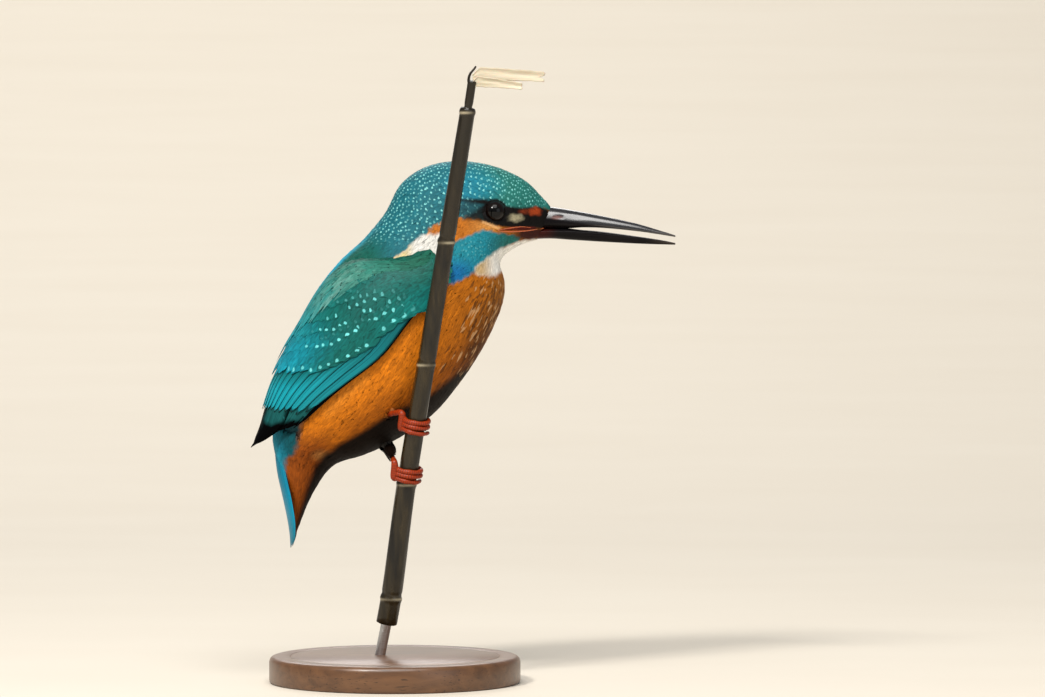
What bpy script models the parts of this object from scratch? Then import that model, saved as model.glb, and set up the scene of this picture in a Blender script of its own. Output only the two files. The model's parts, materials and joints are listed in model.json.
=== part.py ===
"""A life-size common kingfisher that clings to a cut reed, on a plain display stand.

+X is the way the bird faces, +Y is its left side and +Z is up. The origin is the centre of
the base's underside. Sizes are written in millimetres, and MM turns them into metres.

The bird's flesh is one hull of ribs, like a boat's, parted with thin cuts. A rib is a closed
ring from the bird's back round its right side to its belly and up its left side. The wings
and the tail are thin shells built on ribs of their own, cut clear of the hull.
"""
import math
from collections import namedtuple

import bmesh
import bpy
from mathutils import Matrix, Vector

MM = 0.001
GAP = 0.34  # clear space between neighbouring solids
BIRD_Y = 10.0  # the bird's middle plane stands this far behind the middle of the base

# ---------------------------------------------------------------- driving sizes
EYE = Vector((30.2, 10.1, 142.5))  # the left eye's centre, from the bird's middle plane
EYE_RADIUS = 3.25
SOCKET_DEPTH = 0.8
SOCKET_REACH = 4.2
BODY_STEPS, BODY_SIDES = 2, 22  # rings to each pair of named ribs, and points on a ring
BILL_STEPS, BILL_SIDES = 2, 12

WING_THICK = 2.1
TAIL_THICK = 1.5

REED_FOOT_Z = 18.0  # where the reed is cut off
REED_TOP_Z = 182.2
REED_RADIUS_LOW = 3.15
REED_RADIUS_HIGH = 2.25
REED_TIP_RADIUS = 1.3
HUSK_LENGTH = 21.0
HUSK_WIDTH = 6.0
HUSK_THICK = 0.6
REED_BORE = 2.0
REED_BORE_DEPTH = 11.0
REED_JOINTS_Z = (25.5, 60.5, 97.0, 134.0, 173.0)
JOINT_SWELL = 0.22  # how far a joint's ring stands out, and the neck above it sinks
JOINT_NECK = 0.14
JOINT_SPREAD = 0.7

BASE_RADIUS = 38.0
BASE_HEIGHT = 8.0
BASE_CHAMFER = 1.2
ROD_RADIUS = 1.6
ROD_SINK = 5.0  # how far the rod enters the base

TOE_RADIUS = 0.85
CLAW_TIP_RADIUS = 0.26
TOE_STEPS, TOE_SIDES = 5, 7

# Each foot's height on the reed, and the angle round the reed where its sole rests.
RIGHT_FOOT = (78.5, 185.0)
LEFT_FOOT = (63.6, 200.0)
# The top and the bend of each leg: how far forward, to the left of the middle plane, and up.
RIGHT_LEG = (Vector((-7.5, -8.0, 83.0)), Vector((-3.5, -12.0, 81.0)))
LEFT_LEG = (Vector((-8.0, 4.0, 76.0)), Vector((-2.0, -4.0, 70.5)))

# One rib of a hull. back and belly are (x, z) of its two ends on the middle plane, and widest
# is how far down from the back the rib is widest, as a share of its depth.
Rib = namedtuple("Rib", "place back belly half_width widest")

BODY = (
    Rib("face", (47.6, 143.0), (43.3, 133.5), 3.5, 0.55),
    Rib("lores", (44.3, 146.6), (39.4, 132.5), 6.0, 0.56),
    Rib("brow", (40.0, 150.9), (36.6, 131.2), 8.4, 0.57),
    Rib("eye", (34.5, 154.0), (33.6, 129.3), 10.6, 0.58),
    Rib("crown", (27.3, 156.4), (32.0, 127.2), 12.3, 0.60),
    Rib("rear_crown", (18.2, 157.3), (31.8, 125.4), 13.8, 0.61),
    Rib("occiput", (9.1, 155.4), (32.4, 123.6), 15.0, 0.61),
    Rib("nape", (1.8, 150.3), (33.0, 121.5), 16.1, 0.60),
    Rib("neck", (-2.9, 141.8), (33.2, 118.5), 17.4, 0.57),
    Rib("mantle", (-9.3, 133.9), (32.7, 114.8), 18.8, 0.53),
    Rib("shoulder", (-16.7, 127.0), (30.9, 109.7), 20.1, 0.50),
    Rib("back", (-23.6, 118.3), (27.0, 101.5), 20.8, 0.50),
    Rib("middle", (-28.9, 108.4), (20.6, 91.5), 20.5, 0.50),
    Rib("loin", (-32.7, 98.3), (11.8, 80.9), 18.9, 0.50),
    Rib("hip", (-35.1, 89.0), (1.5, 73.6), 16.4, 0.50),
    Rib("rump", (-36.7, 80.0), (-8.8, 68.5), 13.0, 0.48),
    Rib("vent", (-37.1, 72.4), (-16.7, 66.1), 9.6, 0.45),
    Rib("coverts", (-35.9, 66.6), (-20.6, 63.3), 7.4, 0.42),
    Rib("coverts_middle", (-34.2, 60.4), (-23.9, 58.5), 5.9, 0.40),
    Rib("coverts_low", (-32.6, 54.6), (-26.6, 53.3), 4.2, 0.40),
    Rib("coverts_end", (-31.3, 46.8), (-29.4, 46.2), 1.7, 0.40),
)

# The outside of the folded wings, which meet over the back like a roof.
FOLDED = (
    Rib("neck", (-2.7, 142.1), (33.2, 118.5), 18.4, 0.55),
    Rib("mantle", (-9.4, 134.3), (32.7, 114.8), 20.8, 0.53),
    Rib("shoulder", (-16.9, 127.8), (30.9, 109.7), 22.4, 0.50),
    Rib("back", (-24.2, 118.8), (27.0, 101.5), 23.2, 0.50),
    Rib("middle", (-30.2, 107.6), (20.6, 91.5), 22.9, 0.50),
    Rib("loin", (-34.7, 99.2), (11.8, 81.8), 21.2, 0.50),
    Rib("hip", (-38.2, 91.2), (0.0, 75.8), 18.6, 0.50),
    Rib("rump", (-40.4, 83.8), (-13.6, 72.7), 15.0, 0.50),
    Rib("primaries", (-41.9, 78.6), (-25.6, 72.6), 11.2, 0.50),
    Rib("tips", (-43.6, 74.0), (-36.4, 71.0), 7.4, 0.50),
    Rib("end", (-44.4, 71.2), (-43.2, 70.6), 4.6, 0.50),
)
# Where the wing's upper and lower edges run on those ribs, in degrees from the back.
WING_UPPER = (74.0, 66.0, 31.0, 18.0, 13.5, 10.0, 7.0, 6.0, 7.0, 9.0, 14.0)
WING_LOWER = (84.0, 95.0, 97.0, 94.0, 90.0, 82.0, 79.0, 83.0, 95.0, 102.0, 120.0)
WING_START, WING_SPLIT, WING_END = 0.45, 7.15, 9.75

# The tail: its back is the upper side of the middle feathers, and its sides droop.
TAIL = (
    Rib("root", (-37.6, 69.5), (-33.0, 68.4), 5.0, 0.9),
    Rib("first", (-36.4, 62.5), (-31.6, 61.3), 7.2, 0.9),
    Rib("second", (-34.6, 55.5), (-30.2, 54.4), 8.6, 0.9),
    Rib("third", (-33.0, 48.8), (-29.4, 47.9), 9.4, 0.9),
    Rib("fourth", (-32.1, 43.6), (-29.9, 43.1), 8.4, 0.9),
    Rib("tip", (-31.9, 39.9), (-31.3, 39.8), 4.6, 0.9),
)
TAIL_HALF_ARC = 78.0

UPPER_BILL = (
    Rib("root", (40.0, 143.6), (38.0, 137.0), 3.5, 0.72),
    Rib("feather_edge", (46.9, 143.3), (46.6, 137.2), 3.5, 0.74),
    Rib("nostril", (53.0, 142.4), (53.0, 137.2), 3.05, 0.78),
    Rib("third", (62.1, 140.7), (62.1, 137.1), 2.35, 0.80),
    Rib("two_thirds", (72.7, 138.4), (72.7, 136.1), 1.5, 0.78),
    Rib("near_tip", (80.5, 136.15), (80.5, 135.0), 0.8, 0.7),
    Rib("tip", (84.9, 134.8), (84.9, 134.3), 0.27, 0.5),
)
LOWER_BILL = (
    Rib("root", (38.0, 136.6), (38.0, 133.6), 3.3, 0.3),
    Rib("feather_edge", (46.6, 136.75), (46.6, 134.0), 3.3, 0.28),
    Rib("gonys", (53.0, 136.65), (53.0, 133.6), 2.8, 0.24),
    Rib("third", (62.1, 136.0), (62.1, 133.0), 2.1, 0.24),
    Rib("two_thirds", (72.7, 134.6), (72.7, 132.4), 1.35, 0.26),
    Rib("near_tip", (80.5, 133.4), (80.5, 132.1), 0.7, 0.35),
    Rib("tip", (84.9, 132.5), (84.9, 132.0), 0.27, 0.5),
)

FEATHER_TEAL = (0.02, 0.24, 0.27)
FEATHER_AZURE = (0.02, 0.42, 0.55)
FEATHER_ORANGE = (0.62, 0.19, 0.03)
FEATHER_DARK = (0.015, 0.02, 0.02)
HORN_BLACK = (0.015, 0.015, 0.018)
CORAL_RED = (0.65, 0.07, 0.03)
REED_BROWN = (0.05, 0.04, 0.025)
WALNUT = (0.09, 0.045, 0.025)
STEEL = (0.55, 0.55, 0.56)


# ---------------------------------------------------------------- curves and ribs
def spline(values, t):
    """The smooth curve through evenly numbered values, at station t."""
    i = min(int(t), len(values) - 2)
    f = t - i
    before, start, end, after = (values[min(max(j, 0), len(values) - 1)] for j in range(i - 1, i + 3))
    return 0.5 * (
        2 * start
        + (end - before) * f
        + (2 * before - 5 * start + 4 * end - after) * f ** 2
        + (3 * start - before - 3 * end + after) * f ** 3
    )


def rib_at(hull, t):
    """The rib at station t of a hull, between its named ones."""
    back = tuple(spline([rib.back[i] for rib in hull], t) for i in (0, 1))
    belly = tuple(spline([rib.belly[i] for rib in hull], t) for i in (0, 1))
    half_width = spline([rib.half_width for rib in hull], t)
    widest = spline([rib.widest for rib in hull], t)
    return Rib("between", back, belly, half_width, widest)


def rib_point(rib, degrees, out=0.0):
    """A point on a rib, by its angle from the back; positive angles are on the bird's right.
    out moves it away from the rib's middle."""
    back = Vector((rib.back[0], 0, rib.back[1]))
    belly = Vector((rib.belly[0], 0, rib.belly[1]))
    depth = (belly - back).length
    down = (belly - back) / depth
    above, below = rib.widest * depth, (1 - rib.widest) * depth
    up, side = math.cos(math.radians(degrees)), math.sin(math.radians(degrees))
    reach = above if up > 0 else below
    middle = back + down * above
    normal = Vector((up / max(reach, 0.1), side / max(rib.half_width, 0.1))).normalized()
    rise = up * reach + out * normal.x
    across = side * rib.half_width + out * normal.y
    return middle - down * rise + Vector((0, BIRD_Y - across, 0))


def rings_of(hull, per_station, sides, out=0.0):
    """A hull's rings, per_station to each pair of named ribs."""
    count = (len(hull) - 1) * per_station
    rings = []
    for i in range(count + 1):
        rib = rib_at(hull, i / per_station)
        rings.append([rib_point(rib, 360 * k / sides, out) for k in range(sides)])
    return rings


# ---------------------------------------------------------------- mesh tools
def clear_scene():
    for old in list(bpy.data.objects):
        bpy.data.objects.remove(old)


def material(name, colour, roughness, metallic=0.0):
    made = bpy.data.materials.get(name) or bpy.data.materials.new(name)
    made.use_nodes = True
    shader = made.node_tree.nodes["Principled BSDF"]
    shader.inputs["Base Color"].default_value = (*colour, 1)
    shader.inputs["Roughness"].default_value = roughness
    shader.inputs["Metallic"].default_value = metallic
    return made


def add_object(name, bm, finish=None):
    """Turns a bmesh in millimetres into a smooth object in metres."""
    bmesh.ops.scale(bm, vec=(MM, MM, MM), verts=bm.verts)
    mesh = bpy.data.meshes.new(name)
    bm.to_mesh(mesh)
    bm.free()
    made = bpy.data.objects.new(name, mesh)
    bpy.context.scene.collection.objects.link(made)
    if finish:
        mesh.materials.append(finish)
    mesh.shade_smooth()
    mesh.set_sharp_from_angle(angle=math.radians(40))
    return made


def loft(rings):
    """A closed bmesh through rings of equally many points, its two ends filled."""
    bm = bmesh.new()
    loops = []
    for ring in rings:
        verts = [bm.verts.new(p) for p in ring]
        loops.append([bm.edges.new((verts[k - 1], verts[k])) for k in range(len(verts))])
    for first, second in zip(loops, loops[1:]):
        bmesh.ops.bridge_loops(bm, edges=first + second)
    for end in (loops[0], loops[-1]):
        bmesh.ops.contextual_create(bm, geom=end)
    bmesh.ops.recalc_face_normals(bm, faces=bm.faces)
    return bm


def keep_beyond(bm, point, normal):
    """Cuts a closed bmesh with a plane and keeps the side that the normal points to."""
    geometry = bm.verts[:] + bm.edges[:] + bm.faces[:]
    cut = bmesh.ops.bisect_plane(
        bm, geom=geometry, dist=1e-5, plane_co=point, plane_no=normal, clear_inner=True
    )
    edges = [e for e in cut["geom_cut"] if isinstance(e, bmesh.types.BMEdge)]
    bmesh.ops.contextual_create(bm, geom=edges)
    bmesh.ops.recalc_face_normals(bm, faces=bm.faces)


def tube(stations, sides):
    """A closed bmesh round a path of (centre, radius) stations."""
    centres = [Vector(centre) for centre, _ in stations]
    rings = []
    across = None
    for i, (_, radius) in enumerate(stations):
        ahead = centres[min(i + 1, len(centres) - 1)] - centres[max(i - 1, 0)]
        ahead.normalize()
        across = across or ahead.orthogonal()
        across = (across - ahead * across.dot(ahead)).normalized()
        other = ahead.cross(across)
        turn = [2 * math.pi * k / sides for k in range(sides)]
        rings.append([centres[i] + (across * math.cos(a) + other * math.sin(a)) * radius for a in turn])
    return loft(rings)


def smooth_path(stations, steps):
    """More stations on the smooth curve through a few (centre, radius) ones."""
    count = (len(stations) - 1) * steps
    centres = [Vector(centre) for centre, _ in stations]
    radii = [radius for _, radius in stations]
    return [(spline(centres, i / steps), spline(radii, i / steps)) for i in range(count + 1)]


def helper(made):
    """Marks a cutter, which isn't part of the model."""
    made.hide_render = True
    made.display_type = "WIRE"
    return made


def combine(target, other, operation):
    """Applies a Boolean of another object to target."""
    step = target.modifiers.new(operation.title(), "BOOLEAN")
    step.object = other
    step.operation = operation
    step.solver = "EXACT"


# ---------------------------------------------------------------- the bird's flesh
# The planes of the thin cuts: two points (x, z) on each, in order from the head to the tail.
NECK_CUT = ((0.9, 149.2), (31.9, 125.2))
TRUNK_CUT = ((-7.0, 135.6), (33.0, 118.6))
RUMP_CUT = ((-37.4, 71.8), (-17.3, 65.7))


def cut_plane(cut, beyond):
    """A point and a normal for keep_beyond, half a gap from a cut, on its head or tail side."""
    start = Vector((cut[0][0], BIRD_Y, cut[0][1]))
    end = Vector((cut[1][0], BIRD_Y, cut[1][1]))
    headward = (end - start).cross(Vector((0, 1, 0))).normalized()
    headward = headward if headward.dot(Vector((1, 0, 2))) > 0 else -headward
    normal = headward if beyond == "head" else -headward
    return start + normal * GAP / 2, normal


def press_sockets(bm):
    """Sinks the feathers round each eye, so that the eye sits in the head."""
    for side in (-1, 1):
        middle = Vector((EYE.x, BIRD_Y + side * (EYE.y + 1.5), EYE.z))
        for vert in bm.verts:
            near = (vert.co - middle).length / SOCKET_REACH
            vert.co.y -= side * SOCKET_DEPTH * math.exp(-near ** 2)


def flesh(name, finish, head_cut=None, tail_cut=None):
    """The stretch of the body between two cuts."""
    bm = loft(rings_of(BODY, BODY_STEPS, BODY_SIDES))
    press_sockets(bm)
    if head_cut:
        keep_beyond(bm, *cut_plane(head_cut, "tail"))
    if tail_cut:
        keep_beyond(bm, *cut_plane(tail_cut, "head"))
    return add_object(name, bm, finish)


def make_flesh():
    teal = material("teal_feathers", FEATHER_TEAL, 0.6)
    orange = material("orange_feathers", FEATHER_ORANGE, 0.7)
    head = flesh("head", teal, tail_cut=NECK_CUT)
    flesh("neck", teal, NECK_CUT, TRUNK_CUT)
    flesh("trunk", orange, TRUNK_CUT, RUMP_CUT)
    flesh("undertail", orange, head_cut=RUMP_CUT)
    return head


def make_body_clearance():
    """The whole hull swollen by the gap, which cuts the wings, tail and legs clear of it."""
    swollen = rings_of(BODY, BODY_STEPS, BODY_SIDES, out=GAP)
    return helper(add_object("body_clearance", loft(swollen)))


def make_eyes(head):
    black = material("eye_gloss", HORN_BLACK, 0.08)
    for name, side in (("eye_right", -1), ("eye_left", 1)):
        centre = Vector((EYE.x, BIRD_Y + side * EYE.y, EYE.z))
        for label, radius in ((name, EYE_RADIUS), (name + "_socket", EYE_RADIUS + GAP)):
            bm = bmesh.new()
            bmesh.ops.create_uvsphere(
                bm, u_segments=14, v_segments=9, radius=radius, matrix=Matrix.Translation(centre)
            )
            if label == name:
                add_object(label, bm, black)
            else:
                combine(head, helper(add_object(label, bm)), "DIFFERENCE")


def make_bill(head):
    black = material("bill_horn", HORN_BLACK, 0.3)
    for name, hull in (("bill_upper", UPPER_BILL), ("bill_lower", LOWER_BILL)):
        add_object(name, loft(rings_of(hull, BILL_STEPS, BILL_SIDES)), black)
        seat = loft(rings_of(hull, BILL_STEPS, BILL_SIDES, out=GAP))
        combine(head, helper(add_object(name + "_seat", seat)), "DIFFERENCE")


# ---------------------------------------------------------------- wings and tail
def shell_ring(rib, start, end, thick, side, columns=8):
    """A thin crescent on a rib from one angle to another: its outside, then its inside back."""
    ring = []
    for k in range(columns + 1):
        ring.append(rib_point(rib, side * (start + (end - start) * k / columns)))
    for k in range(columns, -1, -1):
        share = k / columns
        rounded = 0.35 + 0.65 * math.sin(math.pi * share) ** 0.6 if 0 < share < 1 else 0.35
        angle = side * (start + (end - start) * share)
        ring.append(rib_point(rib, angle, -thick * rounded))
    return ring


def wing_rings(first, last, steps, side):
    rings = []
    for i in range(steps + 1):
        t = first + (last - first) * i / steps
        upper, lower = spline(WING_UPPER, t), spline(WING_LOWER, t)
        nose = min(1.0, (t - WING_START) / 0.5 + 0.25)  # the round front of the wing
        middle = (upper + lower) / 2
        upper, lower = middle + (upper - middle) * nose ** 0.5, middle + (lower - middle) * nose ** 0.5
        taper = 1 - 0.45 * max(0.0, t - 7) / 2.75
        rings.append(shell_ring(rib_at(FOLDED, t), upper, lower, WING_THICK * taper, side))
    return rings


def make_wings(clearance):
    teal = material("teal_feathers", FEATHER_TEAL, 0.6)
    dark = material("dark_feathers", FEATHER_DARK, 0.5)
    for name, side in (("right", 1), ("left", -1)):
        wing = add_object("wing_" + name, loft(wing_rings(WING_START, WING_SPLIT, 16, side)), teal)
        combine(wing, clearance, "DIFFERENCE")
        start = WING_SPLIT + 0.06
        tips = add_object("primaries_" + name, loft(wing_rings(start, WING_END, 6, side)), dark)
        combine(tips, clearance, "DIFFERENCE")


def make_tail(clearance):
    azure = material("azure_feathers", FEATHER_AZURE, 0.5)
    rings = []
    steps = 9
    for i in range(steps + 1):
        t = (len(TAIL) - 1) * i / steps
        thick = TAIL_THICK * (1 - 0.55 * i / steps)
        rings.append(shell_ring(rib_at(TAIL, t), -TAIL_HALF_ARC, TAIL_HALF_ARC, thick, 1, 10))
    combine(add_object("tail", loft(rings), azure), clearance, "DIFFERENCE")


# ---------------------------------------------------------------- the reed
REED_LINE = (
    Vector((-6.1, 4.3, 1.5)),
    Vector((-1.2, -0.4, 25.2)),
    Vector((3.5, -5.5, 59.4)),
    Vector((9.7, -13.0, 97.0)),
    Vector((15.8, -20.4, 133.9)),
    Vector((22.3, -28.3, 173.6)),
    Vector((24.1, -30.5, 186.0)),
)


def reed_centre(z):
    """The reed's centre at a height, on the smooth line through its joints."""
    low, high = 0.0, float(len(REED_LINE) - 1)
    for _ in range(40):
        middle = (low + high) / 2
        low, high = (middle, high) if spline(REED_LINE, middle).z < z else (low, middle)
    return spline(REED_LINE, low)


def reed_direction(z):
    return (reed_centre(z + 1) - reed_centre(z - 1)).normalized()


def reed_radius(z):
    share = (z - REED_FOOT_Z) / (REED_JOINTS_Z[-1] - REED_FOOT_Z)
    radius = REED_RADIUS_LOW + (REED_RADIUS_HIGH - REED_RADIUS_LOW) * min(share, 1.0)
    if z > REED_JOINTS_Z[-1] + 1.2:
        radius = REED_TIP_RADIUS
    for joint in REED_JOINTS_Z:
        radius += JOINT_SWELL * math.exp(-(((z - joint) / JOINT_SPREAD) ** 2))
        radius -= JOINT_NECK * math.exp(-(((z - joint - 1.5) / JOINT_SPREAD) ** 2))
    return radius


def make_reed():
    """The cut reed, its broken top and the husk and the curled sliver that are left on it."""
    heights = {REED_FOOT_Z, REED_TOP_Z}
    for joint in REED_JOINTS_Z:
        heights |= {joint + step for step in (-1.3, -0.5, 0.5, 1.4, 2.5)}
    for low, high in zip((REED_FOOT_Z, *REED_JOINTS_Z), (*REED_JOINTS_Z, REED_TOP_Z)):
        heights.add((low + high) / 2)
    bm = tube([(reed_centre(z), reed_radius(z)) for z in sorted(heights)], 12)
    reed = add_object("perch_reed", bm, material("reed_stem", REED_BROWN, 0.45))
    combine(reed, make_husk(), "UNION")
    combine(reed, make_sliver(), "UNION")
    up = reed_direction(REED_FOOT_Z)
    foot = reed_centre(REED_FOOT_Z)
    bore = tube([(foot - up * 3, REED_BORE), (foot + up * REED_BORE_DEPTH, REED_BORE)], 14)
    combine(reed, helper(add_object("reed_bore", bore)), "DIFFERENCE")


def make_husk():
    """The pale flake of husk beside the broken top: a strip torn in two, the upper part longer."""
    start = reed_centre(REED_TOP_Z) + Vector((0.6, -0.2, -0.7))
    bm = bmesh.new()
    bmesh.ops.create_grid(bm, x_segments=8, y_segments=4, size=0.5)
    for vert in bm.verts:
        along, across = vert.co.x + 0.5, vert.co.y + 0.5
        upper = across > 0.6
        reach = HUSK_LENGTH if upper else HUSK_LENGTH * 0.6
        sag = 1.6 + 4 * (1 - across) if upper else 1.2
        narrow_root = min(1.0, 0.45 + 5 * along)
        vert.co.x = along * reach
        vert.co.z = across * HUSK_WIDTH * narrow_root - sag * along
        vert.co.y = 1.1 * math.sin(along * 2.4) - 0.9 * (across - 0.5) ** 2
    bm.normal_update()
    bmesh.ops.solidify(bm, geom=bm.verts[:] + bm.edges[:] + bm.faces[:], thickness=HUSK_THICK)
    bmesh.ops.recalc_face_normals(bm, faces=bm.faces)
    bmesh.ops.translate(bm, vec=start, verts=bm.verts)
    return helper(add_object("husk", bm))


def make_sliver():
    """The thin curl of skin that stands up from the broken top."""
    root = reed_centre(REED_TOP_Z - 1.0) + Vector((-0.7, 0, 0))
    bends = ((0, 0, 0), (-0.15, 0, 1.6), (0.35, 0.1, 3.2), (1.5, 0.1, 4.6), (2.0, 0, 5.4))
    radii = (0.5, 0.5, 0.55, 0.5, 0.3)
    stations = [(root + Vector(bend), radius) for bend, radius in zip(bends, radii)]
    return helper(add_object("sliver", tube(smooth_path(stations, 2), 8)))


# ---------------------------------------------------------------- legs and feet
def round_reed(z, degrees, clear):
    """A point beside the reed, by the angle round it from +X towards +Y."""
    up = reed_direction(z)
    across = (Vector((1, 0, 0)) - up * up.x).normalized()
    other = up.cross(across)
    turn = math.radians(degrees)
    distance = reed_radius(z) + clear
    return reed_centre(z) + (across * math.cos(turn) + other * math.sin(turn)) * distance


def digit(z, start, end, drop):
    """A toe that wraps the reed from one angle to another, with its claw at the end."""
    clear = TOE_RADIUS + GAP
    stations = []
    for i in range(TOE_STEPS + 1):
        share = i / TOE_STEPS
        bulge = 1 + 0.12 * math.cos(share * 6 * math.pi)  # the pads under the toe's joints
        radius = TOE_RADIUS * bulge * (1 - 0.25 * share)
        angle = start + (end - start) * share
        stations.append((round_reed(z - drop * share, angle, clear * (1 - 0.12 * share)), radius))
    claw = 28 if end > start else -28
    for share, rise, radius in ((0.35, 0.55, 0.5), (0.7, 0.6, 0.38), (1.0, 0.28, CLAW_TIP_RADIUS)):
        centre = round_reed(z - drop - 0.9 * share, end + claw * share, GAP + rise)
        stations.append((centre, radius))
    return tube(stations, TOE_SIDES)


def make_foot(name, z, pad_angle):
    """Three front toes round one side of the reed and the hind toe round the other. Returns
    the ankle."""
    red = material("foot_scales", CORAL_RED, 0.45)
    clear = TOE_RADIUS + GAP
    pad = [
        (round_reed(z + 3.2, pad_angle, clear + 0.9), 1.05),
        (round_reed(z + 1.4, pad_angle, clear + 0.4), 1.2),
        (round_reed(z - 0.8, pad_angle, clear + 0.35), 1.2),
        (round_reed(z - 2.2, pad_angle, clear + 0.2), 1.0),
    ]
    foot = add_object(name, tube(smooth_path(pad, 2), 10), red)
    toes = (
        (z + 1.3, 1, 200, -0.4),
        (z + 0.1, 1, 222, 0.0),
        (z - 1.3, 1, 170, 0.5),
        (z - 0.1, -1, 130, 0.8),
    )
    for i, (height, way, reach, drop) in enumerate(toes):
        toe = digit(height, pad_angle + way * 8, pad_angle + way * reach, drop)
        combine(foot, helper(add_object(f"{name}_toe_{i}", toe)), "UNION")
    return pad[0][0]


def make_leg(name, ankle, leg, clearance):
    """The feathered shank from the belly down to the bare ankle."""
    hip, knee = (point + Vector((0, BIRD_Y, 0)) for point in leg)
    brown = material("shank_feathers", FEATHER_DARK, 0.7)
    axis = (ankle - knee).normalized()
    stations = [(hip, 2.9), (knee, 2.2), (ankle - axis * 1.7, 1.25)]
    shank = add_object(name, tube(smooth_path(stations, 4), 12), brown)
    combine(shank, clearance, "DIFFERENCE")


# ---------------------------------------------------------------- the stand
def make_stand():
    foot = reed_centre(REED_FOOT_Z)
    up = reed_direction(REED_FOOT_Z)
    low = foot - up * ((foot.z - BASE_HEIGHT + ROD_SINK) / up.z)
    high = foot + up * (REED_BORE_DEPTH - 1.0)
    steel = material("stand_rod", STEEL, 0.3, 1.0)
    add_object("stand_rod", tube([(low, ROD_RADIUS), (high, ROD_RADIUS)], 20), steel)

    bm = bmesh.new()
    bmesh.ops.create_cone(
        bm,
        cap_ends=True,
        segments=56,
        radius1=BASE_RADIUS,
        radius2=BASE_RADIUS,
        depth=BASE_HEIGHT,
        matrix=Matrix.Translation((0, 0, BASE_HEIGHT / 2)),
    )
    rim = [e for e in bm.edges if all(abs(v.co.z - BASE_HEIGHT) < 1e-4 for v in e.verts)]
    bmesh.ops.bevel(
        bm, geom=rim, offset=BASE_CHAMFER, affect="EDGES", segments=2, profile=0.5, material=-1
    )
    base = add_object("stand_base", bm, material("stand_wood", WALNUT, 0.4))
    seat = tube([(low - up * GAP, ROD_RADIUS + GAP), (foot, ROD_RADIUS + GAP)], 20)
    combine(base, helper(add_object("rod_seat", seat)), "DIFFERENCE")


def main():
    clear_scene()
    bpy.context.scene.unit_settings.scale_length = 1.0
    clearance = make_body_clearance()
    head = make_flesh()
    make_eyes(head)
    make_bill(head)
    make_wings(clearance)
    make_tail(clearance)
    make_reed()
    make_leg("leg_right", make_foot("foot_right", *RIGHT_FOOT), RIGHT_LEG, clearance)
    make_leg("leg_left", make_foot("foot_left", *LEFT_FOOT), LEFT_LEG, clearance)
    make_stand()


main()
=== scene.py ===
# %% [markdown]
# # A kingfisher on a cut reed
# A museum's bird is a form of the flesh with the real plumage over it. This lesson builds one
# the same way: a skin inside the fixed frame, then thousands of small solid feathers laid on
# it in tracts, then the hard parts, which are the bill, the eyes and the claws. Everything is
# written in millimetres in the frame's own axes and turned to metres as each piece is made.

# %% The fixed frame and its box
import json
import math

import bmesh
import bpy
import numpy as np
from mathutils import Matrix, Vector
from mathutils.bvhtree import BVHTree

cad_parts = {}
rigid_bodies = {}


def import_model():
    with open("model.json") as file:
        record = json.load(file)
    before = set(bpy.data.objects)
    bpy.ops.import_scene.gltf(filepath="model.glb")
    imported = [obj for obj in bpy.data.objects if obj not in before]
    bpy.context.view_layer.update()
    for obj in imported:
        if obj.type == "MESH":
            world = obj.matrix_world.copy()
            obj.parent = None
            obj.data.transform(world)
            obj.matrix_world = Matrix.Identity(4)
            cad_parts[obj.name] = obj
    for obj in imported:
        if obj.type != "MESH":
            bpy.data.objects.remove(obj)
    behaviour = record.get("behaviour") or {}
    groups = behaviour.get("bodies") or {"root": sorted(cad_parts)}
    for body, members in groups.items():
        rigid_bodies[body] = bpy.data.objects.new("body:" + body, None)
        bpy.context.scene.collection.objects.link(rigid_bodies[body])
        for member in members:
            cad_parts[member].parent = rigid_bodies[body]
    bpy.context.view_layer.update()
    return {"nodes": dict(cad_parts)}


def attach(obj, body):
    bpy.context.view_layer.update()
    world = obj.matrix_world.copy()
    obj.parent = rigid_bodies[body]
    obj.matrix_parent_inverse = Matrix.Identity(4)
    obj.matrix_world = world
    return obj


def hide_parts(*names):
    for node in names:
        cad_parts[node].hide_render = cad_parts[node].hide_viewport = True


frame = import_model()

MM = 0.001
BIRD_Y = 10.0  # the bird's middle plane
MERGE = 1e-6  # how close two corners of the frame's loose triangles are when they are one, in m
SIDES = (("right", 1), ("left", -1))  # an angle from the back is positive on the bird's right
Y_SIDES = (("right", -1), ("left", 1))  # and y is negative there
print("nodes:", sorted(frame["nodes"]))

# %% [markdown]
# ## The camera
# The bird is seen from its right side, a little from above, from far away with a long lens.
# A long lens flattens the view, so both shoulders keep nearly the same size.

# %% The camera
CAMERA_TILT = math.radians(3.0)
CAMERA_DISTANCE = 2.3
VIEW_WIDTH = 0.3167
aim = Vector((38.6, BIRD_Y, 100.5)) * MM
lens = bpy.data.cameras.new("long_lens")
lens.sensor_width = 36
lens.lens = lens.sensor_width * CAMERA_DISTANCE / VIEW_WIDTH
lens.clip_end = 100
camera = bpy.data.objects.new("long_lens", lens)
camera.location = aim + Vector((0, -math.cos(CAMERA_TILT), math.sin(CAMERA_TILT))) * CAMERA_DISTANCE
camera.rotation_euler = (math.radians(90) - CAMERA_TILT, 0, 0)
bpy.context.scene.collection.objects.link(camera)
bpy.context.scene.camera = camera
print("lens in mm:", round(lens.lens))

# %% [markdown]
# ## Colours and nodes
# Painters note colours as hex values, but light mixes in linear values, so one function turns
# one into the other. One small function adds a shader node with its settings and its links, and
# one makes the materials that are no more than two tones mottled by a fine noise.

# %% Helpers for materials
def linear(hex_colour):
    """An sRGB hex colour as linear red, green and blue."""
    channels = [int(hex_colour[i:i + 2], 16) / 255 for i in (1, 3, 5)]
    return tuple(c / 12.92 if c <= 0.04045 else ((c + 0.055) / 1.055) ** 2.4 for c in channels)


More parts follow.
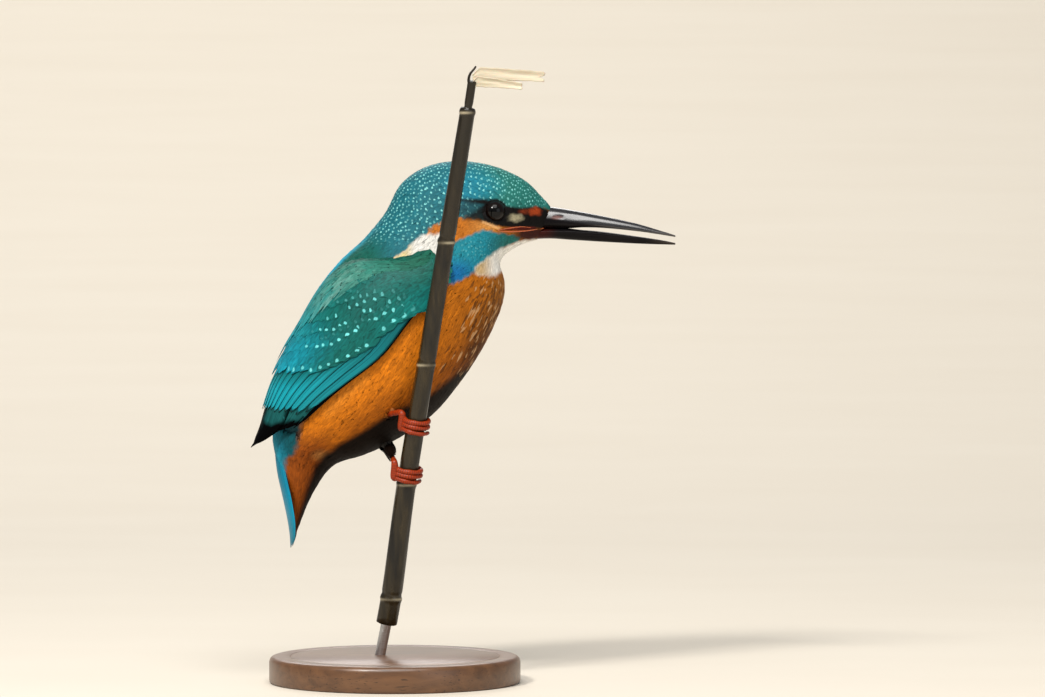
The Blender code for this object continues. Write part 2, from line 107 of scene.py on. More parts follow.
def add(tree, kind, inputs=None, **settings):
    """Adds a node. Each input is a plain value, a hex colour, another node's output to link, or
    the other node itself, which stands for the first output that it has in use."""
    made = tree.nodes.new("ShaderNode" + kind)
    for key, value in settings.items():
        setattr(made, key, value)
    for key, value in (inputs or {}).items():
        if isinstance(value, bpy.types.Node):
            value = next(output for output in value.outputs if output.enabled)
        if isinstance(value, bpy.types.NodeSocket):
            tree.links.new(value, made.inputs[key])
        else:
            made.inputs[key].default_value = (*linear(value), 1) if isinstance(value, str) else value
    return made


def new_material(name):
    """A material and its empty node tree."""
    made = bpy.data.materials.new(name)
    made.use_nodes = True
    made.node_tree.nodes.clear()
    return made, made.node_tree


def mottled_material(name, scale, detail, tones, surface, relief=None, stretch=None):
    """A material whose fine noise mixes two tones. surface holds its shader's settings, relief
    the height it gives the mottle, in m, and its strength, and stretch draws it out in streaks."""
    made, tree = new_material(name)
    inputs = {"Scale": scale, "Detail": detail}
    if stretch:
        place = add(tree, "TexCoord").outputs["Object"]
        inputs["Vector"] = add(tree, "Mapping", {0: place, 3: stretch})
    mottle = add(tree, "TexNoise", inputs)
    tone = add(tree, "Mix", {0: mottle, 6: tones[0], 7: tones[1]}, data_type="RGBA")
    surface = {"Base Color": tone, **surface}
    if relief:
        bump = add(tree, "Bump", {"Height": mottle, "Distance": relief[0], "Strength": relief[1]})
        surface["Normal"] = bump
    add(tree, "OutputMaterial", {0: add(tree, "BsdfPrincipled", surface)})
    return made


print("teal in linear light:", [round(c, 3) for c in linear("#2c7672")])

# %% [markdown]
# ## The studio
# A pale paper sweep rises behind the stand in one curve, so no horizon line crosses the view.
# It stops just above the view's top edge, so the model can also be seen from behind, over it.
# The key light is a small panel high on the left by the camera, as crisp as a low sun. A soft
# panel overhead and a low fill keep the belly readable, and one behind picks out the edges.

# %% The sweep
def finish_mesh(name, bm, material, smooth=True):
    """Turns a bmesh in millimetres into an object in metres that sits at the origin."""
    bmesh.ops.scale(bm, vec=(MM, MM, MM), verts=bm.verts)
    mesh = bpy.data.meshes.new(name)
    bm.to_mesh(mesh)
    bm.free()
    made = bpy.data.objects.new(name, mesh)
    bpy.context.scene.collection.objects.link(made)
    mesh.materials.append(material)
    if smooth:
        mesh.shade_smooth()
    return made


def pour(source, target):
    """Adds one bmesh to another and frees it."""
    spare = bpy.data.meshes.new("spare")
    source.to_mesh(spare)
    source.free()
    target.from_mesh(spare)
    bpy.data.meshes.remove(spare)


# Matt paper: a broad even tone with the faintest mottle of its fibres.
PAPER_WIDTH, PAPER_FRONT, PAPER_RUN = 5200, -1400, 2000
PAPER_BEND_RADIUS, PAPER_BEND = 700, math.radians(48)
paper = mottled_material("matt_paper", 40.0, 3.0, ("#d3cabb", "#d8d0c2"), {"Roughness": 0.9})

bm = bmesh.new()
start = [bm.verts.new((x, PAPER_FRONT, 0)) for x in (-PAPER_WIDTH / 2, PAPER_WIDTH / 2)]
edge = bm.edges.new(start)
run = bmesh.ops.extrude_edge_only(bm, edges=[edge])
moved = [v for v in run["geom"] if isinstance(v, bmesh.types.BMVert)]
bmesh.ops.translate(bm, vec=(0, PAPER_RUN, 0), verts=moved)
edge = [e for e in run["geom"] if isinstance(e, bmesh.types.BMEdge)]
bmesh.ops.spin(bm, geom=edge, cent=(0, PAPER_FRONT + PAPER_RUN, PAPER_BEND_RADIUS), axis=(1, 0, 0),
               angle=PAPER_BEND, steps=24)
bmesh.ops.recalc_face_normals(bm, faces=bm.faces)
sweep = finish_mesh("paper_sweep", bm, paper)
print("sweep size in m:", [round(d, 2) for d in sweep.dimensions])


# %% The lights
def panel(name, place, size, watts, colour):
    """A square soft light that faces the bird."""
    light = bpy.data.lights.new(name, "AREA")
    light.size, light.energy, light.color = size, watts, colour
    holder = bpy.data.objects.new(name, light)
    holder.location = place
    holder.rotation_euler = (aim - Vector(place)).to_track_quat("-Z", "Y").to_euler()
    bpy.context.scene.collection.objects.link(holder)


panel("key", (-0.75, -1.15, 1.35), 0.3, 28, (1.0, 0.965, 0.91))
panel("overhead", (0.05, -0.70, 1.20), 0.8, 13, (1.0, 0.98, 0.95))
panel("fill", (1.3, -1.5, 0.5), 1.2, 5, (0.92, 0.96, 1.0))
panel("edge", (-0.15, 1.25, 1.05), 0.9, 10, (1.0, 0.98, 0.95))
world = bpy.data.worlds.new("studio_air")
bpy.context.scene.world = world
world.use_nodes = True
air = world.node_tree.nodes["Background"]
air.inputs["Color"].default_value = (0.80, 0.84, 0.90, 1)
air.inputs["Strength"].default_value = 0.28
bpy.context.scene.view_settings.view_transform = "Standard"

# %% [markdown]
# ## The bird's form as a surface
# The frame was lofted through ribs, each a slanted ring from the back to the belly. The same
# ribs give a smooth surface here: a station t says how far towards the tail, and an angle says
# how far round from the back, with the bird's right side positive. Each row is the back's x
# and z, the belly's x and z, half the width, and how far down the rib is widest.

# %% The ribs of the body, the folded wings and the tail
BODY = (
    (47.6, 143.0, 43.3, 133.5, 3.5, 0.55),
    (44.3, 146.6, 39.4, 132.5, 6.0, 0.56),
    (40.0, 150.9, 36.6, 131.2, 8.4, 0.57),
    (34.5, 154.0, 33.6, 129.3, 10.6, 0.58),
    (27.3, 156.4, 32.0, 127.2, 12.3, 0.60),
    (18.2, 157.3, 31.8, 125.4, 13.8, 0.61),
    (9.1, 155.4, 32.4, 123.6, 15.0, 0.61),
    (1.8, 150.3, 33.0, 121.5, 16.1, 0.60),
    (-2.9, 141.8, 33.2, 118.5, 17.4, 0.57),
    (-9.3, 133.9, 32.7, 114.8, 18.8, 0.53),
    (-16.7, 127.0, 30.9, 109.7, 20.1, 0.50),
    (-23.6, 118.3, 27.0, 101.5, 20.8, 0.50),
    (-28.9, 108.4, 20.6, 91.5, 20.5, 0.50),
    (-32.7, 98.3, 11.8, 80.9, 18.9, 0.50),
    (-35.1, 89.0, 1.5, 73.6, 16.4, 0.50),
    (-36.7, 80.0, -8.8, 68.5, 13.0, 0.48),
    (-37.1, 72.4, -16.7, 66.1, 9.6, 0.45),
    (-35.9, 66.6, -20.6, 63.3, 7.4, 0.42),
    (-34.2, 60.4, -23.9, 58.5, 5.9, 0.40),
    (-32.6, 54.6, -26.6, 53.3, 4.2, 0.40),
    (-31.3, 46.8, -29.4, 46.2, 1.7, 0.40),
)
FOLDED = (
    (-2.7, 142.1, 33.2, 118.5, 18.4, 0.55),
    (-9.4, 134.3, 32.7, 114.8, 20.8, 0.53),
    (-16.9, 127.8, 30.9, 109.7, 22.4, 0.50),
    (-24.2, 118.8, 27.0, 101.5, 23.2, 0.50),
    (-30.2, 107.6, 20.6, 91.5, 22.9, 0.50),
    (-34.7, 99.2, 11.8, 81.8, 21.2, 0.50),
    (-38.2, 91.2, 0.0, 75.8, 18.6, 0.50),
    (-40.4, 83.8, -13.6, 72.7, 15.0, 0.50),
    (-41.9, 78.6, -25.6, 72.6, 11.2, 0.50),
    (-43.6, 74.0, -36.4, 71.0, 7.4, 0.50),
    (-44.4, 71.2, -43.2, 70.6, 4.6, 0.50),
)
TAIL = (
    (-37.6, 69.5, -33.0, 68.4, 5.0, 0.9),
    (-36.4, 62.5, -31.6, 61.3, 7.2, 0.9),
    (-34.6, 55.5, -30.2, 54.4, 8.6, 0.9),
    (-33.0, 48.8, -29.4, 47.9, 9.4, 0.9),
    (-32.1, 43.6, -29.9, 43.1, 8.4, 0.9),
    (-31.9, 39.9, -31.3, 39.8, 4.6, 0.9),
)
# The folded wing's upper and lower edges on its ribs, in degrees from the back.
WING_UPPER = (74.0, 66.0, 31.0, 18.0, 13.5, 10.0, 7.0, 6.0, 7.0, 9.0, 14.0)
WING_LOWER = (84.0, 95.0, 97.0, 94.0, 90.0, 82.0, 79.0, 83.0, 95.0, 102.0, 120.0)
NECK_STATION = 8.0  # the body's rib where the folded wings' first one lies
EYE = np.array([30.2, 10.1, 142.5])  # the left eye, from the middle plane
EYE_RADIUS = 3.25
print(len(BODY), "body ribs,", len(FOLDED), "wing ribs and", len(TAIL), "tail ribs")


# %% Points on the ribs
def between(table, t):
    """The rows of a table at stations t, on a smooth curve, carried straight on past its ends."""
    table = np.asarray(table, float).reshape(len(table), -1)
    last = len(table) - 1
    inside = np.clip(t, 0, last)
    i = np.minimum(inside.astype(int), last - 1)
    f = (inside - i)[:, None]
    before, low, high, after = (table[np.clip(i + k, 0, last)] for k in (-1, 0, 1, 2))
    curve = 0.5 * (2 * low + (high - before) * f + (2 * before - 5 * low + 4 * high - after) * f ** 2
                   + (3 * low - before - 3 * high + after) * f ** 3)
    slope = np.where((t < 0)[:, None], table[1] - table[0], table[-1] - table[-2])
    return curve + slope * (t - inside)[:, None]


def on_ribs(table, t, degrees):
    """Points at stations t and angles round the ribs of a table."""
    row = between(table, t)
    back = np.stack([row[:, 0], np.zeros(len(row)), row[:, 1]], 1)
    belly = np.stack([row[:, 2], np.zeros(len(row)), row[:, 3]], 1)
    depth = np.maximum(np.linalg.norm(belly - back, axis=1), 0.2)
    down = (belly - back) / depth[:, None]
    turn = np.radians(degrees)
    above = row[:, 5] * depth
    reach = np.where(np.cos(turn) > 0, above, depth - above)
    point = back + down * (above - np.cos(turn) * reach)[:, None]
    point[:, 1] = BIRD_Y - np.sin(turn) * np.maximum(row[:, 4], 0.3)
    return point


def body_surface(t, degrees):
    """The outside of the body's plumage. It sinks a little round each eye."""
    point = on_ribs(BODY, t, degrees)
    for side in (-1, 1):
        middle = np.array([EYE[0], BIRD_Y + side * (EYE[1] + 1.5), EYE[2]])
        near = np.linalg.norm(point - middle, axis=1) / 4.2
        point[:, 1] -= side * 0.8 * np.exp(-near ** 2)
    return point


def wing_angle(e, u):
    """The angle from the back at station e, where u runs from the wing's upper edge to its lower one."""
    upper, lower = between(WING_UPPER, e)[:, 0], between(WING_LOWER, e)[:, 0]
    return upper + (lower - upper) * u


def ease(x, low, high):
    """Rises smoothly from 0 at low to 1 at high."""
    share = np.clip((x - low) / (high - low), 0, 1)
    return share * share * (3 - 2 * share)


def wing_surface(side):
    """The outside of one folded wing. In front and at the scapulars it runs into the body."""
    def surface(e, u):
        degrees = wing_angle(e, u)
        outer = on_ribs(FOLDED, e, side * degrees)
        inner = on_ribs(BODY, e + NECK_STATION, side * degrees)
        front = ease(e, 0.05, 0.75)
        roof = ease(u, -0.22, 0.06) + ease(e, 3.2, 5.2)
        share = (front * np.minimum(roof, 1.0))[:, None]
        return inner + (outer - inner) * share
    return surface


def tail_surface(t, degrees):
    return on_ribs(TAIL, t, degrees)


probe = body_surface(np.array([4.0, 12.0]), np.array([0.0, 90.0]))
print("top of the crown and the right flank in mm:", probe.round(1).tolist())


# %% [markdown]
# ## The markings
# Skin and feathers share one plan of the markings, so that what shows between two feathers
# has the right colour. The plan is drawn on the side view, in x and z, and holds for both
# sides. Each mark is a soft-edged blot or a tapering band, laid over the ones before it.

# %% Blots, bands and soft paint
def blot(x, z, centre, half):
    """How far outside an oval each point is, roughly in millimetres; negative inside."""
    reach = np.hypot((x - centre[0]) / half[0], (z - centre[1]) / half[1])
    return (reach - 1) * min(half)


def band(x, z, stops):
    """How far outside a tapering band along (x, z, radius) stops each point is."""
    best = np.full(len(x), 1e9)
    for (x0, z0, r0), (x1, z1, r1) in zip(stops, stops[1:]):
        run = np.array([x1 - x0, z1 - z0])
        share = np.clip(((x - x0) * run[0] + (z - z0) * run[1]) / (run @ run), 0, 1)
        away = np.hypot(x - x0 - share * run[0], z - z0 - share * run[1])
        best = np.minimum(best, away - (r0 + (r1 - r0) * share))
    return best


def plain(hex_colour, count):
    """One colour for each of many points."""
    return np.tile(np.array(linear(hex_colour)), (count, 1))


def lay_paint(colours, *coats):
    """Mixes colours over others in turn. Each coat is an amount from 0 to 1 for each point, and
    a hex colour."""
    for amount, hex_colour in coats:
        amount = np.clip(amount, 0, 1)[:, None]
        colours = colours * (1 - amount) + np.array(linear(hex_colour)) * amount
    return colours


def soft(distance, width=0.5):
    """1 inside a mark and 0 outside it, over an edge of some width."""
    return np.clip(0.5 - distance / width, 0, 1)


outside = band(np.array([20.5]), np.array([137.6]), ((31.5, 136.9, 0.7), (20.5, 137.6, 3.1)))
print("an ear covert is inside its band by", round(-float(outside[0]), 1), "mm")

# %% The plan of the markings
# Lines and bands of the side view, in millimetres: x forwards and z up.
CAP_LINE = ((48.5, 142.0), (45.5, 142.6), (43.0, 143.0), (34.4, 142.4), (32.0, 143.6), (29.0, 145.0),
            (27.2, 140.0), (24.0, 140.7), (20.0, 140.6), (14.0, 139.2), (11.0, 137.2), (9.0, 135.3),
            (6.5, 133.6), (3.0, 130.6), (0.0, 128.6), (-4.0, 126.8), (-12.0, 122.0), (-16.0, 115.0),
            (-60.0, 60.0))
EAR = ((31.6, 136.9, 0.35), (28.5, 137.7, 0.9), (26.0, 137.9, 1.7), (21.0, 137.4, 3.2), (12.8, 136.4, 2.2))
MALAR = ((37.0, 134.0, 0.8), (32.0, 133.5, 2.4), (27.3, 132.4, 4.5), (21.2, 128.9, 5.4), (17.6, 127.3, 5.8),
         (10.0, 124.0, 5.4), (3.0, 120.5, 5.6), (-4.0, 115.0, 5.0))
NECK_PATCH = ((13.5, 132.0, 3.9), (9.5, 131.9, 3.7), (7.2, 131.2, 2.6), (3.5, 129.4, 1.1), (-0.5, 127.6, 0.6))
THROAT = ((46.0, 133.4, 0.7), (38.0, 131.4, 1.9), (33.0, 128.1, 3.2), (29.5, 125.9, 3.0), (26.0, 125.0, 1.6))
LORES = ((46.4, 140.6, 2.2), (43.0, 140.4, 3.3), (38.0, 140.4, 3.0), (33.0, 140.9, 3.2))
EYE_TRAIL = ((27.5, 145.3, 0.9), (23.0, 145.7, 0.5), (19.5, 145.9, 0.25))
# The line along the belly below which the orange is painted near black as shade.
BELLY_SHADE_BAND = ((33, 100, 0.4), (24, 93.5, 1.4), (20.6, 91.5, 2.6), (11.8, 80.9, 5.8), (3.0, 75.0, 8.0),
             (-5.0, 69.6, 8.0), (-13.0, 66.3, 7.0), (-18.0, 65.0, 5.0), (-20.6, 63.3, 4.0),
             (-23.9, 58.5, 2.6), (-26.6, 53.3, 1.5), (-29.4, 46.2, 1.0))
SIDE_RUMP = ((-28.0, 80.0), (-28.6, 77.0), (-29.5, 71.5), (-30.4, 69.0), (-33.2, 67.6), (-33.4, 61.6),
             (-34.5, 55.0))


def plumage(points):
    """The colour of the coat at each point, and how strong the azure spot of its feather is."""
    x, z = points[:, 0], points[:, 2]
    out = np.abs(points[:, 1] - BIRD_Y)
    beside = ease(out, 1.5, 3.0)  # 0 on the middle line of forehead and chin
    ripple = 0.35 * np.sin(x * 2.3 + z * 1.1) + 0.25 * np.sin(z * 3.7 - x * 1.9)

    def in_band(stops, width, wave=0.0):
        return soft(band(x, z, stops) + wave * ripple, width)

    def in_blot(centre, half, width, wave=0.0):
        return soft(blot(x, z, centre, half) + wave * ripple, width)

    # The underparts are orange, deepest on the flank and duller at the front of the breast. Painted shade
    # darkens the belly to near black, the flank above it and the rear of the belly, and partly the breast's
    # front. A painted highlight lightens a stripe below the wing.
    forward = x - 0.32 * (z - 100)  # how far forward, square to the breast's lean
    from_belly_shade = band(x, z, BELLY_SHADE_BAND)
    colour = lay_paint(
        plain("#c66f10", len(x)),
        (ease(x, 8, 26) * ease(z, 92, 112), "#b4660f"),
        (0.7 * ease(forward, 18.5, 27.5) * ease(z, 88, 100), "#85551c"),
        # Painted shade: the rear of the belly, towards the vent, is darker.
        (0.9 * ease(-x, 14, 23) * ease(z, 80, 69), "#7d3a0a"),
        (0.6 * in_blot((-22.0, 68.6), (2.4, 1.4), 2.0), "#b98448"),
        # Painted shade: the flank darkens towards the shaded belly.
        (0.55 * ease(from_belly_shade, 11, 1) * ease(x, -24, -9), "#7a3a07"),
        # Partly painted shade, partly dusky feathers: the front of the lower breast is dark brown.
        (0.8 * ease(forward, 15, 25) * ease(z, 120, 98), "#452508"),
        # Painted highlight: a paler stripe along the flank just below the wing.
        (0.25 * in_band(((-20.0, 82.0, 0.8), (-9.0, 93.0, 1.0)), 4.0), "#dd9840"),
        # Painted shade: below its band the belly is near black.
        (ease(from_belly_shade, 1.5, -1.2), "#120a05"))

    # The cap, the nape and the mantle are teal, with azure spots on the head. Behind the eye the
    # teal turns to slate.
    above = z - np.interp(x, *zip(*sorted(CAP_LINE))) + ripple
    teal = soft(-above, 0.8)
    slate = in_blot((22.8, 143.2), (5.0, 2.7), 1.8) * teal
    spots = teal * ease(z, 131, 137) * ease(above, -0.2, 1.6) * (1 - 0.8 * slate)
    # A bright azure stripe runs down the middle of the back to the tail.
    # Where it reaches up to the nape along the outline, the stripe is partly painted rim light.
    back = soft(out - 4.5 - 2.5 * ease(z, 130, 95), 3.0) * ease(z, 142, 126)
    line = np.interp(-z, [-p[1] for p in SIDE_RUMP], [p[0] for p in SIDE_RUMP])
    rump = soft(x - line + 0.8 * ripple, 1.8) * ease(z, 96, 90)
    colour = lay_paint(
        colour,
        (teal, "#23675f"),
        (teal * ease(x, 34, 20), "#175d68"),
        (teal * ease(x, 2, -8) * ease(z, 140, 128), "#0e5044"),
        (0.35 * teal * in_blot((23.5, 149.5), (7.5, 4.5), 4.0), "#1487a6"),
        (0.85 * slate, "#1a3f47"),
        (back * teal, "#1593ad"),
        (rump, "#054c56"),
        (rump * ease(out, 9, 4), "#0f88a4"))
    spots = spots * (1 - back)

    # Face: black lores and a dark trail behind the eye, over them a cream and a rufous spot.
    malar = in_band(MALAR, 0.8, 0.5)
    spots = np.maximum(spots * (1 - malar), 0.4 * malar * in_blot((25.0, 131.5), (5.0, 3.0), 3.0))
    dark = beside * np.maximum.reduce([
        in_band(LORES, 0.7),
        soft(np.hypot(x - EYE[0], z - EYE[2] + 0.4) - 4.1, 0.6),
        in_band(EYE_TRAIL, 0.9),
        0.9 * in_band(((28.0, 141.8, 3.4), (24.9, 141.2, 1.5), (21.5, 140.5, 0.5)), 1.4),
        in_band(((46.0, 138.0, 1.2), (39.0, 138.2, 0.6)), 0.6)])
    rufous = np.maximum(in_blot((42.4, 142.3), (1.7, 1.25), 0.9, 0.5),
                        0.5 * in_blot((39.5, 142.3), (1.7, 0.7), 0.8))
    colour = lay_paint(
        colour,
        (in_band(EAR, 0.9, 1.0), "#a86018"),
        (in_band(EAR, 0.9) * ease(x, 20, 30), "#bf8340"),
        (malar, "#1d7c8c"),
        (malar * ease(z, 130, 124) * ease(x, 27, 19), "#12659c"),
        (malar * ease(x, 11, 3), "#176a74"),
        (malar * ease(x, 27, 35), "#246d68"),
        (dark, "#0a0706"),
        (rufous * beside, "#963a16"),
        (in_blot((36.6, 140.4), (1.95, 1.1), 1.0, 0.4) * beside, "#9c9478"),
        # A pale line under the eye, and the red of the mouth's corner and the jaw.
        (in_band(((31.7, 137.3, 0.3), (30.0, 138.0, 0.35), (26.8, 139.3, 0.25)), 0.5), "#dba66c"),
        (in_band(((32.0, 136.9, 0.3), (36.0, 137.2, 0.6), (42.0, 137.0, 0.6)), 0.5) * beside, "#5c150d"),
        (in_blot((41.8, 135.3), (5.2, 1.9), 1.2) * ease(out, 1.0, 3.0), "#3a140d"))
    spots = spots * (1 - dark)

    # White at the side of the neck and on the throat, turning buff at their ends.
    patch, throat = in_band(NECK_PATCH, 0.8, 0.4), in_band(THROAT, 0.9, 0.3)
    colour = lay_paint(
        colour,
        (patch, "#c6c4be"),
        (patch * ease(x, 6.5, 3.0), "#b9a878"),
        (throat, "#f0eee8"),
        (throat * ease(x, 31, 26), "#c2a67a"))
    spots = spots * (1 - np.maximum(patch, throat))
    return colour, spots


check, _ = plumage(np.array([[20.5, 0.0, 137.6], [12.0, 0.0, 131.8], [20.0, 0.0, 154.0]]))
print("ear, neck patch and crown:", check.round(2).tolist())

# %% [markdown]
# ## The skin
# Under the plumage lies one continuous skin. The frame's parts are copied, swollen until the
# thin cuts between them close, joined, and remeshed into one closed surface. Then it is drawn
# in by the swelling and by the depth of the coat, less where the body is thin, such as at a
# wing's edge. Real skin has no feathers' outline, so it is smoothed first.

# %% The skin from the frame's flesh
FLESH = ("head", "neck", "trunk", "undertail", "wing_left", "wing_right", "leg_left", "leg_right")
SWELL = 0.32
HEAD_COAT, BODY_COAT = 0.75, 1.15  # how deep the skin lies under the plumage's outline
LARGEST_SHARE = 0.38  # of a thin part's thickness, so that its two sides never meet
# Painted shade: the skin takes the feathers' colours darkened by this share, for the shade the feathers cast
# on it.
SKIN_SHADE = 0.8  # the skin is a little darker than the feathers that shade it

bm = bmesh.new()
for name in FLESH:
    part = bmesh.new()
    part.from_mesh(frame["nodes"][name].data)
    bmesh.ops.remove_doubles(part, verts=part.verts, dist=MERGE)
    part.normal_update()
    for vert in part.verts:
        vert.co += vert.normal * SWELL * MM
    pour(part, bm)
flesh_mesh = bpy.data.meshes.new("skin")
bm.to_mesh(flesh_mesh)
bm.free()
skin = bpy.data.objects.new("skin", flesh_mesh)
bpy.context.scene.collection.objects.link(skin)
remesh = skin.modifiers.new("one_surface", "REMESH")
remesh.mode, remesh.voxel_size = "VOXEL", 0.9 * MM
whole = bpy.data.meshes.new_from_object(skin.evaluated_get(bpy.context.evaluated_depsgraph_get()))
skin.modifiers.clear()
skin.data = whole

bm = bmesh.new()
bm.from_mesh(whole)
for _ in range(5):
    bmesh.ops.smooth_vert(bm, verts=bm.verts, factor=0.5, use_axis_x=True, use_axis_y=True, use_axis_z=True)
bm.normal_update()
tree_of_skin = BVHTree.FromBMesh(bm)
drawn_in = []
for vert in bm.verts:
    coat = HEAD_COAT if vert.co.z > 0.125 and vert.co.x > -0.005 else BODY_COAT
    hit = tree_of_skin.ray_cast(vert.co - vert.normal * 1e-5, -vert.normal)
    thickness = hit[3] / MM if hit[0] else 20.0
    drawn_in.append(min(coat + SWELL, LARGEST_SHARE * thickness))
bm.verts.ensure_lookup_table()
for _ in range(3):
    drawn_in = [min(drawn_in[v.index], sum(drawn_in[e.other_vert(v).index] for e in v.link_edges)
                    / max(len(v.link_edges), 1)) for v in bm.verts]
for vert, depth in zip(bm.verts, drawn_in):
    vert.co -= vert.normal * depth * MM
bm.to_mesh(whole)
bm.free()
points = np.array([v.co for v in whole.vertices]) / MM
tints = plumage(points)[0]
shade = whole.attributes.new("plumage", "FLOAT_COLOR", "POINT")
tints = np.column_stack([tints * SKIN_SHADE, np.ones(len(tints))])
shade.data.foreach_set("color", tints.astype(np.float32).ravel())
whole.shade_smooth()
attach(skin, "root")
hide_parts(*FLESH)
print("the skin has", len(whole.vertices), "vertices and is drawn in by up to", round(max(drawn_in), 2), "mm")

# %% The skin's finish
# Skin with down on it: matt and a little mottled, in the colour of the feathers above, darkened as painted
# shade.
downy_skin, tree = new_material("downy_skin")
colour = add(tree, "Attribute", attribute_name="plumage")
mottle = add(tree, "TexNoise", {"Scale": 900.0, "Detail": 2.0})
bump = add(tree, "Bump", {"Height": mottle, "Strength": 0.4, "Distance": 0.0002})
shader = add(tree, "BsdfPrincipled", {"Base Color": colour, "Normal": bump, "Roughness": 0.85})
add(tree, "OutputMaterial", {0: shader})
skin.data.materials.clear()
skin.data.materials.append(downy_skin)
print("skin finish:", downy_skin.name)

# %% [markdown]
# ## One feather
# A contour feather is a thin leaf with a rounded, slightly frayed end. It starts as a flat
# grid. Its top is domed, its rim is closed underneath with one face, and the result is copied
# thousands of times. Each copy is bent to lie on the bird, so all that the blank fixes is how
# many small faces a feather may have.

# %% The blank leaf
STRETCH = 40  # while the leaf is cut into triangles


def feather_blank(across, along):
    """The vertices of a leaf as (across from -1 to 1, along from 0 to 1, dome from 0 to 1), its
    triangles, and which of them are its underside."""
    bm = bmesh.new()
    bmesh.ops.create_grid(bm, x_segments=across, y_segments=along, size=1)
    for vert in bm.verts:
        vert.co.y = (vert.co.y + 1) / 2
        vert.co.z = (1 - vert.co.x ** 2) * (1 - (2 * vert.co.y - 1) ** 6)
    rim = [e for e in bm.edges if e.is_boundary]
    under = bmesh.ops.contextual_create(bm, geom=rim)["faces"]
    for face in under:
        face.material_index = 1
    # Stretched while it is cut into triangles, the underside falls into cross-wise strips, so
    # it stays below the top where the vane curves along its length.
    bmesh.ops.scale(bm, vec=(1, STRETCH, 1), verts=bm.verts)
    bmesh.ops.triangulate(bm, faces=bm.faces)
    bmesh.ops.scale(bm, vec=(1, 1 / STRETCH, 1), verts=bm.verts)
    bmesh.ops.recalc_face_normals(bm, faces=bm.faces)
    bm.verts.index_update()
    corners = np.array([v.co for v in bm.verts])
    triangles = np.array([[v.index for v in f.verts] for f in bm.faces])
    underside = np.array([f.material_index == 1 for f in bm.faces])
    bm.free()
    return corners, triangles, underside


SMALL = feather_blank(5, 4)
FRAYED = feather_blank(7, 4)
SILKY = feather_blank(4, 5)
LONG = feather_blank(6, 16)
print("triangles in the four blanks:", [len(b[1]) for b in (SMALL, FRAYED, SILKY, LONG)])


# %% [markdown]
# ## Laying feathers on the form
# A feather's root sits at a place on the surface, and the feather lies tailwards. Its width
# and length are turned into small steps along the surface's two directions, so it curves with
# the body. Its root is low and its tip high, which makes each row cover the roots of the next,
# as tiles on a roof do.

# %% The surface's directions, and a feather bent to them
def dots(a, b):
    """The dot product of each row of a with the same row of b."""
    return np.einsum("ij,ij->i", a, b)


def directions(surface, p, q, steps, sign=1):
    """The point, its change along each direction, and the outward normal."""
    ahead = (surface(p + steps[0], q) - surface(p - steps[0], q)) / (2 * steps[0])
    round_it = (surface(p, q + steps[1]) - surface(p, q - steps[1])) / (2 * steps[1])
    normal = np.cross(ahead, round_it) * sign
    normal /= np.maximum(np.linalg.norm(normal, axis=1), 1e-9)[:, None]
    return surface(p, q), ahead, round_it, normal


WIDTH_ALONG = ((0, 0.2, 0.45, 0.7, 0.88, 1), (0.3, 0.7, 0.98, 1.0, 0.82, 0.5))  # how the vane widens


def bend_feathers(surface, steps, roots, length, width, turn, low, high, blank, dome, fray, dice,
                  sign=1, point=0.2):
    """The places of all the vertices of many feathers, as (feather, vertex, 3), and the surface's
    normals there. point says how far the tip's corners are cut back."""
    p, q = roots
    _, ahead, round_it, normal = directions(surface, p, q, steps, sign)
    forward = ahead / np.linalg.norm(ahead, axis=1)[:, None]
    side = np.cross(forward, normal)
    lie = forward * np.cos(turn)[:, None] + side * np.sin(turn)[:, None]
    beside = side * np.cos(turn)[:, None] - forward * np.sin(turn)[:, None]
    pp, pq, qq = dots(ahead, ahead), dots(ahead, round_it), dots(round_it, round_it)
    det = pp * qq - pq ** 2

    def steps_for(way):
        by_p, by_q = dots(way, ahead), dots(way, round_it)
        return (qq * by_p - pq * by_q) / det, (pp * by_q - pq * by_p) / det

    x, y, crown = blank[0].T
    columns = np.unique(x.round(4), return_inverse=True)[1]
    ragged = dice.normal(0, 1, (len(p), columns.max() + 1))[:, columns] * fray
    reach = y - point * x ** 2 * y ** 3 + ragged * y ** 3
    along = length[:, None] * reach
    across = width[:, None] / 2 * (x * np.interp(y, *WIDTH_ALONG))
    (lie_p, lie_q), (side_p, side_q) = steps_for(lie), steps_for(beside)
    at_p = p[:, None] + along * lie_p[:, None] + across * side_p[:, None]
    at_q = q[:, None] + along * lie_q[:, None] + across * side_q[:, None]
    place, _, _, normal = directions(surface, at_p.ravel(), at_q.ravel(), steps, sign)
    rise = low[:, None] + (high - low)[:, None] * np.clip(y, 0, 1) ** 0.5
    rise += crown * np.broadcast_to(dome, len(p))[:, None]
    shape = (len(p), len(x), 3)
    return (place + normal * rise.ravel()[:, None]).reshape(shape), normal.reshape(shape)


BODY_STEPS = (0.01, 0.4)
WING_STEPS = (0.01, 0.004)
print("a feather's width at its middle is", np.interp(0.5, *WIDTH_ALONG).round(2), "of its widest")


# %% Soft shading
def soft_normals(places, lean, triangles, underside, share):
    """A normal for each triangle's corner: the feather's own, leaned towards the body's. A coat
    of thousands of thin leaves then shades as one soft form, as real down does."""
    one, two, three = (places[:, triangles[:, k]] for k in range(3))
    flat = np.cross(two - one, three - one)
    own = np.zeros_like(places)
    for face in np.flatnonzero(~underside):
        own[:, triangles[face]] += flat[:, face][:, None]
    own /= np.maximum(np.linalg.norm(own, axis=2, keepdims=True), 1e-12)
    mixed = own * (1 - share) + lean * share
    mixed /= np.maximum(np.linalg.norm(mixed, axis=2, keepdims=True), 1e-12)
    corners = mixed[:, triangles]
    flat /= np.maximum(np.linalg.norm(flat, axis=2, keepdims=True), 1e-12)
    corners[:, underside] = flat[:, underside][:, :, None]
    return corners


print("a leaf's underside keeps its own flat normal")


# %% One mesh from many feathers
SMALL_PATCH, VANE_PATCH = (0.003, 0.003), (0.05, 0.012)  # a feather's room on the skin's unwrap


